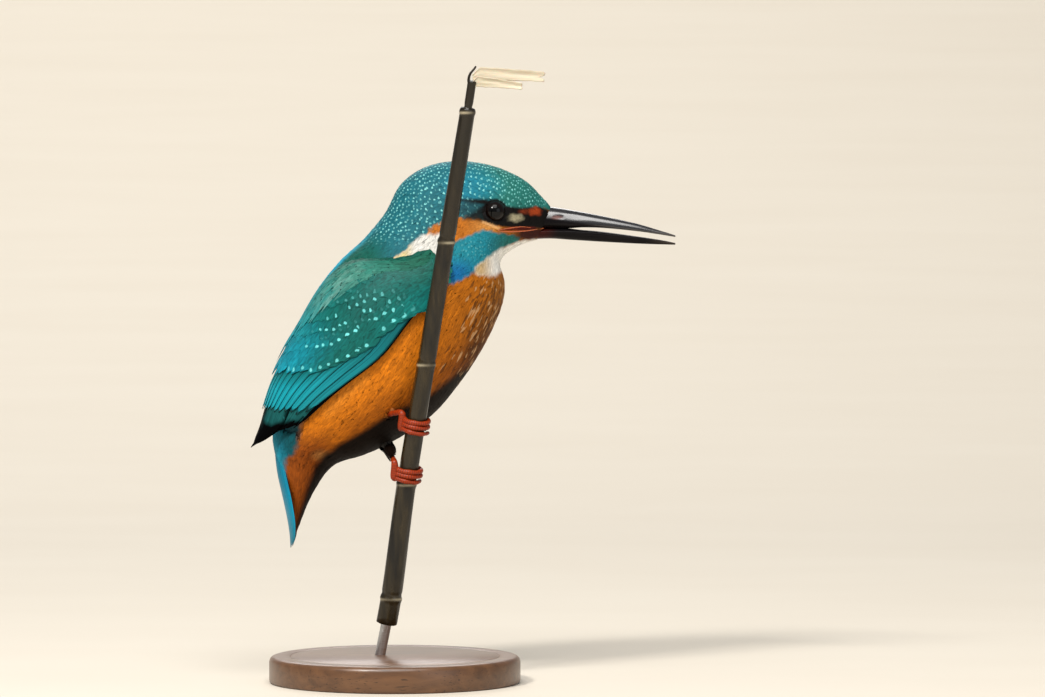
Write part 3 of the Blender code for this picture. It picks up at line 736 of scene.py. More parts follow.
def feather_object(name, places, blank, tint, spot, home, material, patch=SMALL_PATCH, lean=None,
                   share=0.7):
    """Joins bent feathers into one mesh. tint is a colour for each feather or vertex, spot the
    colour and strength of its tip spot, and home the root's place on the skin's unwrap. lean is
    the body's normals, and share how far the feathers' own normals lean towards them."""
    corners, triangles, underside = blank
    count, each, faces = len(places), len(corners), len(triangles)
    mesh = bpy.data.meshes.new(name)
    mesh.vertices.add(count * each)
    mesh.vertices.foreach_set("co", (places * MM).astype(np.float32).ravel())
    all_triangles = (triangles[None] + each * np.arange(count)[:, None, None]).ravel()
    mesh.loops.add(len(all_triangles))
    mesh.loops.foreach_set("vertex_index", all_triangles.astype(np.int32))
    mesh.polygons.add(count * faces)
    mesh.polygons.foreach_set("loop_start", np.arange(0, len(all_triangles), 3, dtype=np.int32))
    tint = tint if tint.ndim == 3 else np.repeat(tint[:, None], each, axis=1)
    whim = np.random.default_rng(len(name) + count).random(count)  # moves the barbs' pattern about
    tint = np.concatenate([tint, np.broadcast_to(whim[:, None, None], (count, each, 1))], axis=2)
    for label, values in (("plumage", tint), ("spot", np.repeat(spot[:, None], each, axis=1))):
        attribute = mesh.attributes.new(label, "FLOAT_COLOR", "POINT")
        attribute.data.foreach_set("color", values.astype(np.float32).ravel())
    x, y = (corners[triangles][..., 0] + 1) / 2, corners[triangles][..., 1]
    under = underside[:, None] * np.ones((1, 3))
    vane = np.stack([x + 2 * under, y], axis=2)
    mesh.uv_layers.new(name="Vane").data.foreach_set("uv", np.tile(vane.ravel(), count).astype(np.float32))
    # On the unwrap the top takes the left part of the feather's patch, and the underside the right.
    shared = np.where(under > 0, 0.78 + 0.22 * x, 0.72 * x)
    local = np.stack([shared - 0.5, y - 0.5], axis=2) * np.array(patch)
    baked = home[:, None, None] + local[None]
    mesh.uv_layers.new(name="OFBake").data.foreach_set("uv", baked.astype(np.float32).ravel())
    flat = mesh.attributes.new("sharp_face", "BOOLEAN", "FACE")
    flat.data.foreach_set("value", np.tile(underside, count))
    if lean is not None:
        corners_out = soft_normals(places, lean, triangles, underside, share)
        free = mesh.attributes.new("custom_normal", "FLOAT_VECTOR", "CORNER")
        free.data.foreach_set("vector", corners_out.astype(np.float32).ravel())
    mesh.update(calc_edges=True)
    made = bpy.data.objects.new(name, mesh)
    bpy.context.scene.collection.objects.link(made)
    mesh.materials.append(material)
    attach(made, "root")
    return made


def unwrap(t, degrees):
    """A place on the skin's unwrap: stations run across it, and it is cut along the belly."""
    turned = (np.asarray(degrees) + 180) % 360
    return np.stack([0.02 + 0.96 * np.asarray(t) / 20.5, 0.02 + 0.96 * turned / 360], axis=1)


print("the crown unwraps to", unwrap([4.0], [0.0]).round(3).tolist())

# %% [markdown]
# ## What feathers are made of
# A feather is keratin. Hundreds of barbs branch from its shaft, and each shows as a fine
# streak, a little lighter or darker than the next. The kingfisher's blue is no dye: layers in
# the barbs scatter it, so it stays bright from every side and gleams softly. The streaks here
# are about 0.3 mm apart on a small feather, coarser than real barbs, so that they show.

# %% The finish of small feathers
def feather_material(name, streaks, grain, gloss, roughness, under, shaft, spot_half):
    """Keratin barbs. The colour is the feather's own, streaked along the barbs, with painted shade at the
    covered root, darker on the underside, with a pale spot before the tip where one is set."""
    made, tree = new_material(name)
    own = add(tree, "Attribute", attribute_name="plumage")
    spot = add(tree, "Attribute", attribute_name="spot")
    uv = add(tree, "SeparateXYZ", {0: add(tree, "UVMap", uv_map="Vane")})
    across, along = uv.outputs["X"], uv.outputs["Y"]
    # Streaks fan out from the shaft: they are sampled finely across and slowly along.
    off_shaft = add(tree, "Math", {0: across, 1: 0.5}, operation="SUBTRACT")
    away = add(tree, "Math", {0: off_shaft}, operation="ABSOLUTE")
    slant = add(tree, "Math", {0: away, 1: -1.2, 2: along}, operation="MULTIPLY_ADD")
    wide = add(tree, "Math", {0: off_shaft, 1: streaks}, operation="MULTIPLY")
    slow = add(tree, "Math", {0: slant, 1: 2.5}, operation="MULTIPLY")
    whim = add(tree, "Math", {0: own.outputs["Alpha"], 1: 50.0}, operation="MULTIPLY")
    place = add(tree, "CombineXYZ", {0: wide, 1: slow, 2: whim})
    barbs = add(tree, "TexNoise", {"Vector": place, "Scale": 1.0, "Detail": 2.0})
    light = add(tree, "MapRange", {0: barbs, 1: 0.3, 2: 0.7, 3: 1.0 - grain, 4: 1.0 + grain})
    # Painted shade: towards the root, where the feathers above cover it, the colour is darkened.
    covered = add(tree, "MapRange", {0: along, 1: 0.2, 2: 0.65, 3: 0.78, 4: 1.0},
                  interpolation_type="SMOOTHSTEP")
    shade = add(tree, "Math", {0: light, 1: covered}, operation="MULTIPLY")
    streaked = add(tree, "VectorMath", {0: own, 3: shade}, operation="SCALE")
    # The azure spot: an oval just before the tip.
    spot_x = add(tree, "Math", {0: off_shaft, 1: spot_half[0]}, operation="DIVIDE")
    spot_y = add(tree, "Math", {0: along, 1: 0.84}, operation="SUBTRACT")
    spot_y = add(tree, "Math", {0: spot_y, 1: spot_half[1]}, operation="DIVIDE")
    reach = add(tree, "CombineXYZ", {0: spot_x, 1: spot_y})
    reach = add(tree, "VectorMath", {0: reach}, operation="LENGTH")
    inside = add(tree, "MapRange", {0: reach, 1: 1.2, 2: 0.6, 3: 0.0, 4: 1.0},
                 interpolation_type="SMOOTHSTEP")
    amount = add(tree, "Math", {0: inside, 1: spot.outputs["Alpha"]}, operation="MULTIPLY")
    spotted = add(tree, "Mix", {0: amount, 6: streaked, 7: spot}, data_type="RGBA")
    # A dark shaft down the middle, and a dull underside.
    on_shaft = add(tree, "MapRange", {0: away, 1: 0.05, 2: 0.02, 3: 0.0, 4: shaft})
    lined = add(tree, "Mix", {0: on_shaft, 6: spotted, 7: "#0a0808"},
                data_type="RGBA")
    below = add(tree, "Math", {0: across, 1: 1.5}, operation="GREATER_THAN")
    faded = add(tree, "VectorMath", {0: own, 3: under}, operation="SCALE")
    dull = add(tree, "Mix", {0: below, 6: lined, 7: faded}, data_type="RGBA")
    bump = add(tree, "Bump", {"Height": barbs, "Strength": 0.35, "Distance": 0.00012})
    shader = add(tree, "BsdfPrincipled", {
        "Base Color": dull, "Normal": bump, "Roughness": roughness,
        "IOR": 1.54, "Specular IOR Level": gloss})
    add(tree, "OutputMaterial", {0: shader})
    return made


contour_barbs = feather_material("contour_barbs", 6.0, 0.26, 0.11, 0.6, 0.85, 0.0, (0.36, 0.10))
covert_barbs = feather_material("covert_barbs", 9.0, 0.3, 0.12, 0.5, 0.6, 0.2, (0.15, 0.07))
vane_barbs = feather_material("flight_vane_barbs", 12.0, 0.22, 0.12, 0.42, 0.3, 0.3, (0.2, 0.1))
black_vane_barbs = feather_material("black_vane_barbs", 12.0, 0.3, 0.01, 0.5, 0.5, 0.2, (0.2, 0.1))
print("feather finishes:", contour_barbs.name, covert_barbs.name, vane_barbs.name, black_vane_barbs.name)

# %% [markdown]
# ## Where the feathers grow
# Feathers stand in staggered rows. On the head they are tiny and close, on the back and the
# belly larger. Rows follow the ribs, and since the ribs crowd together under the throat, a
# root is skipped there when it would stand too close to one already planted.

# %% Planting roots in rows
CLOSEST = 0.72  # the square of how near two roots may stand, as a share of the spacing there
REMEMBERED = 16  # how many rows back a new root is compared with


def plant(surface, steps, start, end, span, spacing):
    """Roots as stations and places round the surface, in staggered rows, every second one marked."""
    station, row, kept, recent = start, 0, [], []
    q = np.linspace(*span, 400)
    while station < end:
        p = np.full(len(q), station)
        point, ahead, _, _ = directions(surface, p, q, steps)
        along, across = spacing(p, q)
        counted = np.concatenate([[0], np.cumsum(np.linalg.norm(np.diff(point, axis=0), axis=1)
                                                 / ((across[1:] + across[:-1]) / 2))])
        places = np.interp(np.arange(0.5 * (row % 2), counted[-1], 1.0), counted, q)
        here, way, _, normal = directions(surface, np.full(len(places), station), places, steps)
        way /= np.linalg.norm(way, axis=1)[:, None]
        beside = np.cross(way, normal)
        far, wide = spacing(np.full(len(places), station), places)
        free = np.ones(len(places), bool)
        if recent:
            gap = here[:, None] - np.concatenate(recent)[None]
            measure = (np.einsum("mrk,mk->mr", gap, way) / far[:, None]) ** 2
            measure += (np.einsum("mrk,mk->mr", gap, beside) / wide[:, None]) ** 2
            free = measure.min(axis=1) > CLOSEST
        if free.any():
            chosen = (np.arange(len(places)) + row) % 2 == 0  # every second one, for the spots
            kept.append(np.stack([np.full(free.sum(), station), places[free], chosen[free]], 1))
            recent = (recent + [here[free]])[-REMEMBERED:]
        station += np.min(along / np.linalg.norm(ahead, axis=1))
        row += 1
    return np.concatenate(kept)


def body_spacing(t, degrees):
    """How far apart feathers are on the body, along and across their lie."""
    belly = ease(np.abs(degrees), 60, 120)
    above = np.interp(t, (0, 2, 4, 7, 9, 11, 14, 18, 20), (0.62, 0.8, 1.0, 1.0, 1.1, 1.3, 1.4, 1.3, 1.2))
    below = np.interp(t, (0, 2, 5, 8, 10, 13, 16, 20), (0.6, 0.7, 0.75, 0.95, 1.1, 1.15, 1.15, 1.0))
    along = above + (below - above) * belly
    return along, along * (1.0 - 0.35 * belly * ease(t, 4, 8))


grown = plant(body_surface, BODY_STEPS, 0.02, 19.9, (0, 180), body_spacing)
print("roots on the right half of the body:", len(grown))

# %% [markdown]
# ## The coat of the body
# Each feather is coloured from the plan at its own places, so a marking may end within it, and
# the chance in its turn and length breaks up the marking's edge, as on the bird. No two
# feathers are alike: each is turned, stretched and tinted a little by chance. On the breast
# and belly the feathers are longer and looser, with frayed ends. Under a folded wing none grow.

# %% Choosing the roots that show, on both sides
dice = np.random.default_rng(7)
both = np.concatenate([grown, grown[grown[:, 1] > 0.5] * (1, -1, 1)])
both[:, 0] += dice.normal(0, 0.012, len(both))
both[:, 1] += dice.normal(0, 0.5, len(both)) * ease(np.abs(both[:, 1]), 0, 6)
e = both[:, 0] - NECK_STATION
under_wing = ((np.abs(both[:, 1]) > wing_angle(e, 0.0) + 9) & (np.abs(both[:, 1]) < wing_angle(e, 1.0) - 10)
              & (e > 0.75) & (e < 7.2))
root_point = body_surface(both[:, 0], both[:, 1])
from_eye = np.hypot(root_point[:, 0] - EYE[0], root_point[:, 2] - EYE[2])
both = both[~under_wing & (from_eye > 2.3)]
print("feathers on the body:", len(both))

# %% Their sizes and colours
t, around, chosen = both.T
girth = np.abs(around)
along, across = body_spacing(t, around)
chest = ease(t, 7.5, 10) * ease(girth, 70, 105)  # loose feathers of the breast, flank and belly
length = along * (3.0 + 2.2 * chest) * dice.uniform(0.9, 1.12, len(t))

_, lie, _, _ = directions(body_surface, t, around, BODY_STEPS)
lie /= np.linalg.norm(lie, axis=1)[:, None]
tip = body_surface(t, around) + lie * (length * 0.8)[:, None]
tint, spotted = plumage(tip)
silk = np.maximum(chest, ease(tint.min(axis=1), 0.35, 0.6))  # white feathers are silky too
length *= 1 + 0.5 * (silk - chest)
width = across * (1.6 + 0.2 * silk) * dice.uniform(0.9, 1.1, len(t))
depth = np.interp(t, (0, 3, 8, 11, 20), (0.3, 0.4, 0.5, 0.55, 0.45)) * (1 - 0.2 * silk)
dome = 0.13 - 0.03 * silk
high = -0.02 + dice.normal(0, 0.03, len(t))
turn = dice.normal(0, 0.05, len(t)) * (1 + 1.4 * chest)
# Each feather differs a little in tone, more on the breast.
tone = dice.normal(1.0, 0.06 + 0.05 * chest, len(t)).clip(0.75, 1.3)
# At the front of the breast, pale and dusky feathers are mixed among the orange ones.
frontal = ease(tip[:, 0] - 0.32 * (tip[:, 2] - 100), 13.5, 25) * ease(tip[:, 2], 84, 100)
frontal = frontal * ease(tip[:, 2], 124, 118) * (tint[:, 0] < 0.5)
draw = dice.random(len(t))
pale, dusky = 0.6 * (draw < 0.16 * frontal), 0.6 * (draw > 1 - 0.26 * frontal)
spot = np.column_stack([plain("#83cfca", len(t)), chosen * spotted * dice.uniform(0.3, 0.85, len(t))])
print("mean length and width in mm:", round(float(length.mean()), 2), round(float(width.mean()), 2))

# %% The tracts, each one mesh
TRACTS = (("face", 0, 3.4, "crown_feathers"), ("crown", 3.4, 6.2, "crown_feathers"),
          ("neck", 6.2, 8.4, "neck_feathers"), ("breast", 8.4, 11.0, "body_feathers"),
          ("flank", 11.0, 14.5, "body_feathers"), ("vent", 14.5, 17.0, "body_feathers"),
          ("undertail", 17.0, 30.0, "undertail_feathers"))
for label, first, last, slot in TRACTS:
    for side, sign in SIDES:
        for kind, blank, fray, point in (("feathers", SMALL, 0.03, 0.2), ("plumes", SILKY, 0.07, 0.4)):
            mine = (t >= first) & (t < last) & ((around > 0) == (sign > 0))
            mine &= (silk > 0.5) == (kind == "plumes")
            if not mine.any():
                continue
            places, lean = bend_feathers(
                body_surface, BODY_STEPS, (t[mine], around[mine]), length[mine], width[mine], turn[mine],
                high[mine] - depth[mine], high[mine], blank, dome[mine], fray, dice, point=point)
            each = len(blank[0])
            paint = plumage(places.reshape(-1, 3))[0].reshape(len(places), each, 3)
            paint = (paint * tone[mine][:, None, None]).reshape(-1, 3)
            paint = lay_paint(paint, (np.repeat(pale[mine], each), "#cfa676"),
                              (np.repeat(dusky[mine], each), "#3a2312"))
            feather_object(f"{label}_{kind}_{side}", places, blank, paint.reshape(len(places), each, 3),
                           spot[mine], unwrap(t[mine], around[mine]), contour_barbs, lean=lean)
            print(label, kind, side, "has", len(places), "feathers")

# %% [markdown]
# ## The folded wing
# From the shoulder back, a folded wing shows rows of coverts, each row larger than the one
# before, then the secondaries as long blue vanes, and past them the black tips of the
# primaries. Rows are set out by where their tips lie, because the tips are what shows. The tips
# of the coverts carry small bright spots, which fade out towards the shoulder.

# %% The rows of coverts
# Where each row's tips lie: places u from the wing's upper edge, and the station e at each.
GREATER = ((-0.05, 0, 0.3, 0.54, 0.71, 0.78, 0.85, 0.89, 1.0),
           (5.9, 5.9, 5.7, 5.36, 5.08, 4.5, 3.94, 3.38, 2.2))
MEDIAN = ((-0.05, 0, 0.2, 0.39, 0.54, 0.6, 0.65, 0.7, 0.75, 1.0),
          (5.2, 5.2, 5.0, 4.64, 4.46, 4.14, 3.86, 3.64, 3.3, 1.9))
LESSER = ((-0.05, 0, 0.3, 0.45, 0.54, 0.62, 0.75, 1.0), (4.6, 4.6, 4.2, 3.98, 3.64, 3.3, 2.75, 1.3))


def wing_feathers(side, name, tips, length, width, turn, low, high, blank, dome, tint, spot, dice,
                  finish, fray=0.02, point=0.2):
    """Feathers on one folded wing, set out by their tips' stations e and places u."""
    surface = wing_surface(side)
    e, u = tips
    _, ahead, _, _ = directions(surface, e, u, WING_STEPS, side)
    root_e = e - length / np.linalg.norm(ahead, axis=1)
    places, lean = bend_feathers(surface, WING_STEPS, (root_e, u), length, width, turn, low, high, blank,
                                 dome, fray, dice, side, point)
    home = unwrap(root_e + NECK_STATION, side * wing_angle(root_e, u))
    feather_object(name, places, blank, tint, spot, home, finish, lean=lean)
    print(name, "has", len(e), "feathers")


def covert_tips(side, dice):
    """The tips of all the coverts: station, place, length, gap and how bright the tip's spot is."""
    # Each row is a line of tips, how far before it they lie, their gap, length and brightness.
    rows = [(GREATER, 0.0, 3.1, 9.5, 1.0), (MEDIAN, 0.0, 3.0, 8.5, 1.0), (LESSER, 0.0, 2.9, 7.0, 0.95)]
    rows += [(LESSER, 0.5, 2.8, 6.5, 0.8), (LESSER, 0.95, 2.6, 6.0, 0.4), (LESSER, 1.35, 2.3, 5.5, 0.15)]
    rows += [(LESSER, 1.7 + 0.3 * k, 1.9, 4.5, 0.0) for k in range(9)]
    # Between the median row and the greater one lie the greater coverts' bases, with no spots.
    rows += [(MEDIAN, -0.38, 3.0, 8.0, 0.0), (LESSER, -0.24, 2.8, 6.0, 0.12), (GREATER, 0.35, 3.0, 8.0, 0.0)]
    found = []
    for number, (curve, back, gap, size, bright) in enumerate(rows):
        u = np.linspace(-0.04, 1.0, 200)
        e = np.interp(u, *curve) - back
        point = wing_surface(side)(e, u)
        run = np.concatenate([[0], np.cumsum(np.linalg.norm(np.diff(point, axis=0), axis=1))])
        places = np.interp(np.arange(gap * (0.3 + 0.5 * (number % 2)), run[-1], gap), run, u)
        places += dice.normal(0, 0.004, len(places))
        here = np.interp(places, *curve) - back + dice.normal(0, 0.03, len(places))
        keep = here > 0.55
        found.append(np.stack([here, places, np.full(len(here), size), np.full(len(here), gap),
                               np.full(len(here), bright)], 1)[keep])
    return np.concatenate(found)


print("the greater coverts' tips reach station", GREATER[1][1])

# %% The coverts' colours and meshes
for label, side in SIDES:
    dice = np.random.default_rng(20 + side)
    e, u, size, gap, bright = covert_tips(side, dice).T
    tint = lay_paint(
        plain("#085650", len(e)),
        (ease(u, 0.45, 0.05), "#1c7674"),
        (ease(e, 3.5, 5.4) * ease(u, 0.8, 0.3), "#118092"),
        (ease(u, 0.8, 1.0), "#0d6a66"),
        (ease(e, 2.2, 0.8), "#155a50"))
    tint *= dice.normal(1.0, 0.07, len(e))[:, None]
    shows = ease(u, 0.28, 0.42) * ease(e, 2.2, 2.8) * (dice.random(len(e)) > 0.08)
    spot = np.column_stack([plain("#74dcdc", len(e)), bright * shows * dice.uniform(0.6, 1.0, len(e))])
    length, turn = size * dice.uniform(0.95, 1.06, len(e)), dice.normal(0, 0.04, len(e))
    low, high = np.full(len(e), -0.7), -0.16 + dice.normal(0, 0.02, len(e))
    wing_feathers(side, f"wing_coverts_{label}", (e, u), length, gap * 1.5, turn, low, high, FRAYED, 0.12,
                  tint, spot, dice, covert_barbs, fray=0.03)

# %% [markdown]
# The scapulars are long silky feathers that start on the shoulder and lie over the wing's
# upper part. They hide where the wing leaves the back, and carry long streaks of painted sheen.

# %% Scapulars and the shoulder
# The line along which the scapulars carry painted sheen, as (x, z, radius) stops.
SHEEN_STREAKS = ((-10.5, 124.8, 0.6), (-13.2, 123.5, 1.4), (-17.8, 120.3, 1.7), (-20.5, 115.8, 1.6),
         (-25.0, 106.0, 0.8))
SCAPULAR_ROWS, LONGEST_ROW = 13, 40
for label, side in SIDES:
    dice = np.random.default_rng(40 + side)
    rows = [(k, LONGEST_ROW - 2 * k) for k in range(SCAPULAR_ROWS)]
    e = np.concatenate([np.linspace(0.75, 5.8 - 3.2 * k / SCAPULAR_ROWS, count) for k, count in rows])
    u = np.concatenate([np.full(count, -0.17 + 0.042 * k) for k, count in rows])
    u += dice.normal(0, 0.012, len(u)) + 0.02 * (np.arange(len(u)) % 2)
    e += dice.normal(0, 0.08, len(e))
    size = np.interp(e, (0.9, 3.0, 5.7), (5.0, 10.5, 13.0))
    tint = lay_paint(
        plain("#256b5e", len(e)),
        (ease(e, 2.4, 4.8), "#1f8188"),
        (ease(e, 2.2, 0.8), "#135645"),
        (ease(u, 0.02, -0.1) * ease(e, 3.2, 2.2), "#0e5044"),
        (0.8 * ease(u, 0.06, -0.12) * ease(e, 2.6, 3.6), "#1690a2"))
    tint *= dice.normal(1.0, 0.10, len(e))[:, None]
    # Painted sheen: along one line the feathers are painted paler, each by a random amount, as streaks of
    # highlight. All but the foremost are also a little paler by chance.
    tip = wing_surface(side)(e - 0.3, u)
    painted_sheen = soft(band(tip[:, 0], tip[:, 2], SHEEN_STREAKS), 4.0) * dice.random(len(e))
    painted_sheen = 0.24 * painted_sheen + 0.07 * dice.random(len(e)) * ease(e, 1.4, 2.4)
    tint = lay_paint(tint, (painted_sheen, "#a3cbbf"))
    spot = np.column_stack([plain("#5fd0cf", len(e)), 0 * e])
    width, turn = np.interp(e, (0.9, 4.0), (1.3, 1.7)), dice.normal(0.0, 0.05, len(e))
    low, high = np.full(len(e), -0.5), -0.10 * ease(u, 0.15, 0.33) + dice.normal(0, 0.025, len(e))
    wing_feathers(side, f"scapulars_{label}", (e, u), size, width, turn, low, high, SILKY, 0.10, tint, spot,
                  dice, contour_barbs, fray=0.06, point=0.45)

# %% [markdown]
# Secondaries and primaries are stiff vanes with a shaft. In the folded wing each tucks its
# upper edge under its neighbour, so a row of narrow blue outer webs shows, with a dark line
# between them. They run along the wing's own lines, so a vane is laid out by station and place.

# %% Long vanes
def lay_vanes(surface, steps, sign, start, end, q_start, q_end, half, low, high, tilt, blank, point=0.5):
    """Long vanes from station start to end, whose middles run from q_start to q_end. half is
    half their width in q, and tilt lifts the edge that shows. Returns (vane, vertex, 3)."""
    x, y, crown = blank[0].T
    taper = np.interp(y, (0, 0.1, 0.6, 0.85, 0.95, 1), (0.5, 0.9, 1.0, 0.9, 0.7, point * 0.7))
    reach = y - 0.06 * x ** 2 * y ** 4
    p = start[:, None] + (end - start)[:, None] * reach
    shown = -sign * x  # 1 at the edge that shows
    q = q_start[:, None] + (q_end - q_start)[:, None] * y + half[:, None] * shown * taper
    place, _, _, normal = directions(surface, p.ravel(), q.ravel(), steps, sign)
    shaft = np.exp(-(x / 0.12) ** 2)
    rise = low[:, None] + (high - low)[:, None] * y ** 0.5
    rise = rise + tilt * shown + 0.12 * crown + 0.05 * shaft * crown
    return (place + normal * rise.ravel()[:, None]).reshape(len(start), len(x), 3), shown, y


print("vertices in one long vane:", len(LONG[0]))

# %% Secondaries
for label, side in SIDES:
    dice = np.random.default_rng(60 + side)
    count = 11
    q = np.linspace(0.04, 0.96, count)
    end = np.interp(q, (0, 0.5, 0.9, 1.0), (7.3, 7.05, 6.65, 6.5)) + dice.normal(0, 0.03, count)
    start = np.interp(q, *GREATER) - 0.9
    one = np.ones(count)
    places, shown, y = lay_vanes(wing_surface(side), WING_STEPS, side, start, end, q, q, 0.068 * one,
                                 -1.25 * one, -0.38 * one, 0.14, LONG)
    edge = np.tile(ease(shown, 0.8, 1.0), count)
    tip = np.tile(ease(y, 0.955, 0.995), count)
    web_highlight = np.tile(ease(np.abs(shown - 0.25), 0.5, 0.0), count)
    early = np.tile(ease(y, 0.62, 0.3), count)
    lower = np.repeat(ease(q, 0.55, 1.0), len(y))
    inner = np.tile(ease(shown, -0.7, -0.95), count)
    # The blue webs: a painted highlight down the middle of each showing web, darker roots and lower rows, a
    # dark line along each showing edge that is painted shade mixed with the inner webs' own black, and
    # near-black tips.
    tint = lay_paint(
        plain("#0f8796", count * len(y)),
        (0.5 * web_highlight, "#19a0ac"),
        (0.8 * early, "#0e6c6c"),
        (0.6 * lower, "#0b6a70"),
        (0.85 * np.maximum(edge, inner), "#04454d"),
        (tip, "#03191c"))
    tint = (tint.reshape(count, len(y), 3) * dice.normal(1.0, 0.06, count)[:, None, None]).clip(0, 1)
    spot = np.zeros((count, 4))
    home = unwrap(start + NECK_STATION, side * wing_angle(start, q))
    feather_object(f"secondaries_{label}", places, LONG, tint, spot, home, vane_barbs,
                   patch=VANE_PATCH)
print("secondaries on each wing:", count)

# %% Primaries
for label, side in SIDES:
    dice = np.random.default_rng(80 + side)
    end = np.array([10.05, 9.6, 9.2, 8.8, 8.4, 8.05, 7.75, 7.4])
    q_end = np.array([0.62, 0.66, 0.70, 0.75, 0.80, 0.86, 0.92, 0.97])
    q_start = np.array([0.30, 0.38, 0.46, 0.55, 0.64, 0.73, 0.82, 0.92])
    start = np.linspace(4.6, 3.4, len(end))
    # The outermost vane makes the dark line along the wing's lower edge.
    end, q_end, q_start = np.append(end, 7.6), np.append(q_end, 1.015), np.append(q_start, 1.0)
    start = np.append(start, 1.6)
    count = len(end)
    half = np.array([0.34] + [0.10] * (count - 2) + [0.034])
    level = np.append(np.linspace(-0.55, -0.85, count - 1), -0.75)
    places, shown, y = lay_vanes(wing_surface(side), WING_STEPS, side, start, end, q_start, q_end, half,
                                 level - 0.4, level, 0.10, LONG, point=0.55)
    station = (start[:, None] + (end - start)[:, None] * y).ravel()
    place = (q_start[:, None] + (q_end - q_start)[:, None] * y + half[:, None] * shown).ravel()
    bound = np.interp(place, (0.3, 0.6, 0.95), (7.95, 7.7, 7.0))
    web = ease(station, bound + 0.12, bound - 0.12) * ease(place, 0.2, 0.32)
    web = web * (np.repeat(np.arange(count), len(y)) < count - 1)
    tint = lay_paint(plain("#040405", count * len(y)), (0.9 * web, "#1c5858"),
                     (np.tile(ease(shown, 0.7, 1.0), count) * web, "#061416"))
    tint = tint.reshape(count, len(y), 3)
    home = unwrap(start + NECK_STATION, side * wing_angle(start, q_start))
    primaries = feather_object(f"primary_vanes_{label}", places, LONG, tint, np.zeros((count, 4)), home,
                               black_vane_barbs, patch=VANE_PATCH)
    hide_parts(f"primaries_{label}")
print("primaries on each wing:", count)

# %% [markdown]
# ## The tail
# Twelve short vanes, azure above and dark below. The middle pair lies on top, and each next
# pair tucks its inner edge under it, so the closed tail is a narrow drooping roof.

# %% Tail feathers
TAIL_STEPS = (0.01, 0.5)
for label, side in SIDES:
    count = 6
    q = side * np.array([9.0, 21.5, 34.0, 46.0, 57.5, 68.5])
    end = np.array([5.0, 4.97, 4.9, 4.82, 4.7, 4.55])
    start = np.full(count, -0.15)
    level = np.linspace(-0.12, -0.5, count)
    half = np.array([13.0, 12.5, 12.0, 11.5, 11.0, 10.0])
    x = LONG[0][:, 0]
    places, _, y = lay_vanes(tail_surface, TAIL_STEPS, 1, start, end, q, q, -half, level - 1.3, level, 0.0,
                             LONG)
    shown = side * x
    tint = lay_paint(plain("#0c86a6", count * len(y)),
                     (np.tile(ease(shown, 0.7, 0.98), count), "#063a48"),
                     (np.tile(0.4 * ease(y, 0.5, 0.8), count), "#0d6a7c"))
    tint = tint.reshape(count, len(y), 3)
    home = unwrap(np.full(count, 16.2), q)
    tail = feather_object(f"tail_vanes_{label}", places, LONG, tint, np.zeros((count, 4)), home, vane_barbs,
                          patch=VANE_PATCH)
    if side == 1:
        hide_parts("tail")
print("tail feathers on each side:", count)

# %% [markdown]
# ## The bill
# The bill is bone under a thin sheath of horn, long, straight and a little flat-sided. Each
# half is lofted through fine rings on the frame's own ribs. The culmen gets its ridge, and a
# groove with a slit-shaped nostril is pressed in near the feathers' edge.

# %% Lofting through rings
UPPER_BILL = (
    (40.0, 143.6, 38.0, 137.0, 3.5, 0.72), (46.9, 143.3, 46.6, 137.2, 3.5, 0.74),
    (53.0, 142.4, 53.0, 137.2, 3.05, 0.78), (62.1, 140.7, 62.1, 137.1, 2.35, 0.80),
    (72.7, 138.4, 72.7, 136.1, 1.5, 0.78), (80.5, 136.15, 80.5, 135.0, 0.8, 0.7),
    (84.9, 134.8, 84.9, 134.3, 0.27, 0.5),
)
LOWER_BILL = (
    (38.0, 136.6, 38.0, 133.6, 3.3, 0.3), (46.6, 136.75, 46.6, 134.0, 3.3, 0.28),
    (53.0, 136.65, 53.0, 133.6, 2.8, 0.24), (62.1, 136.0, 62.1, 133.0, 2.1, 0.24),
    (72.7, 134.6, 72.7, 132.4, 1.35, 0.26), (80.5, 133.4, 80.5, 132.1, 0.7, 0.35),
    (84.9, 132.5, 84.9, 132.0, 0.27, 0.5),
)


def loft(rings):
    """A closed bmesh through rings of equally many points, its two ends filled."""
    bm = bmesh.new()
    loops = []
    for ring in rings:
        verts = [bm.verts.new(p) for p in ring]
        loops.append([bm.edges.new((verts[k - 1], verts[k])) for k in range(len(verts))])
    for first, second in zip(loops, loops[1:]):
        bmesh.ops.bridge_loops(bm, edges=first + second)
    for end in (loops[0], loops[-1]):
        bmesh.ops.contextual_create(bm, geom=end)
    bmesh.ops.recalc_face_normals(bm, faces=bm.faces)
    return bm


BILL_RINGS, BILL_SIDES = 110, 40
NOSTRIL_Z = 140.35


def bill_rings(table, upper, count=BILL_RINGS, sides=BILL_SIDES):
    """Rings of one half of the bill, with its ridge, its groove and its nostril."""
    t = np.repeat(np.linspace(0, len(table) - 1, count), sides)
    degrees = np.tile(np.arange(sides) * 360 / sides, count)
    point = on_ribs(table, t, degrees)
    x, z = point[:, 0], point[:, 2]
    off = (degrees + 180) % 360 - 180
    size = np.interp(x, (46, 85), (1.0, 0.15))
    # The cutting edges meet from the mouth's corner to well past the nostril.
    facing = np.abs(off) - (180 if upper else 0)
    meet = ease(x, 57, 52) * (1 if upper else -1) * np.exp(-(facing / 60) ** 2)
    point[:, 2] -= 0.27 * meet
    if upper:
        point[:, 2] += 0.22 * size * np.exp(-(off / 20) ** 2)
        groove = np.exp(-((z - np.interp(x, (45, 60), (140.9, 139.7))) / 0.55) ** 2) * ease(x, 60, 54)
        slit = np.exp(-((z - NOSTRIL_Z) / 0.32) ** 2) * ease(x, 47.6, 48.3) * ease(x, 51.4, 50.4)
        point[:, 1] += np.sign(np.sin(np.radians(degrees))) * (0.14 * groove + 0.22 * slit)
    else:
        point[:, 2] -= 0.15 * size * np.exp(-((np.abs(off) - 180) / 22) ** 2)
    return [list(ring) for ring in point.reshape(count, sides, 3)]


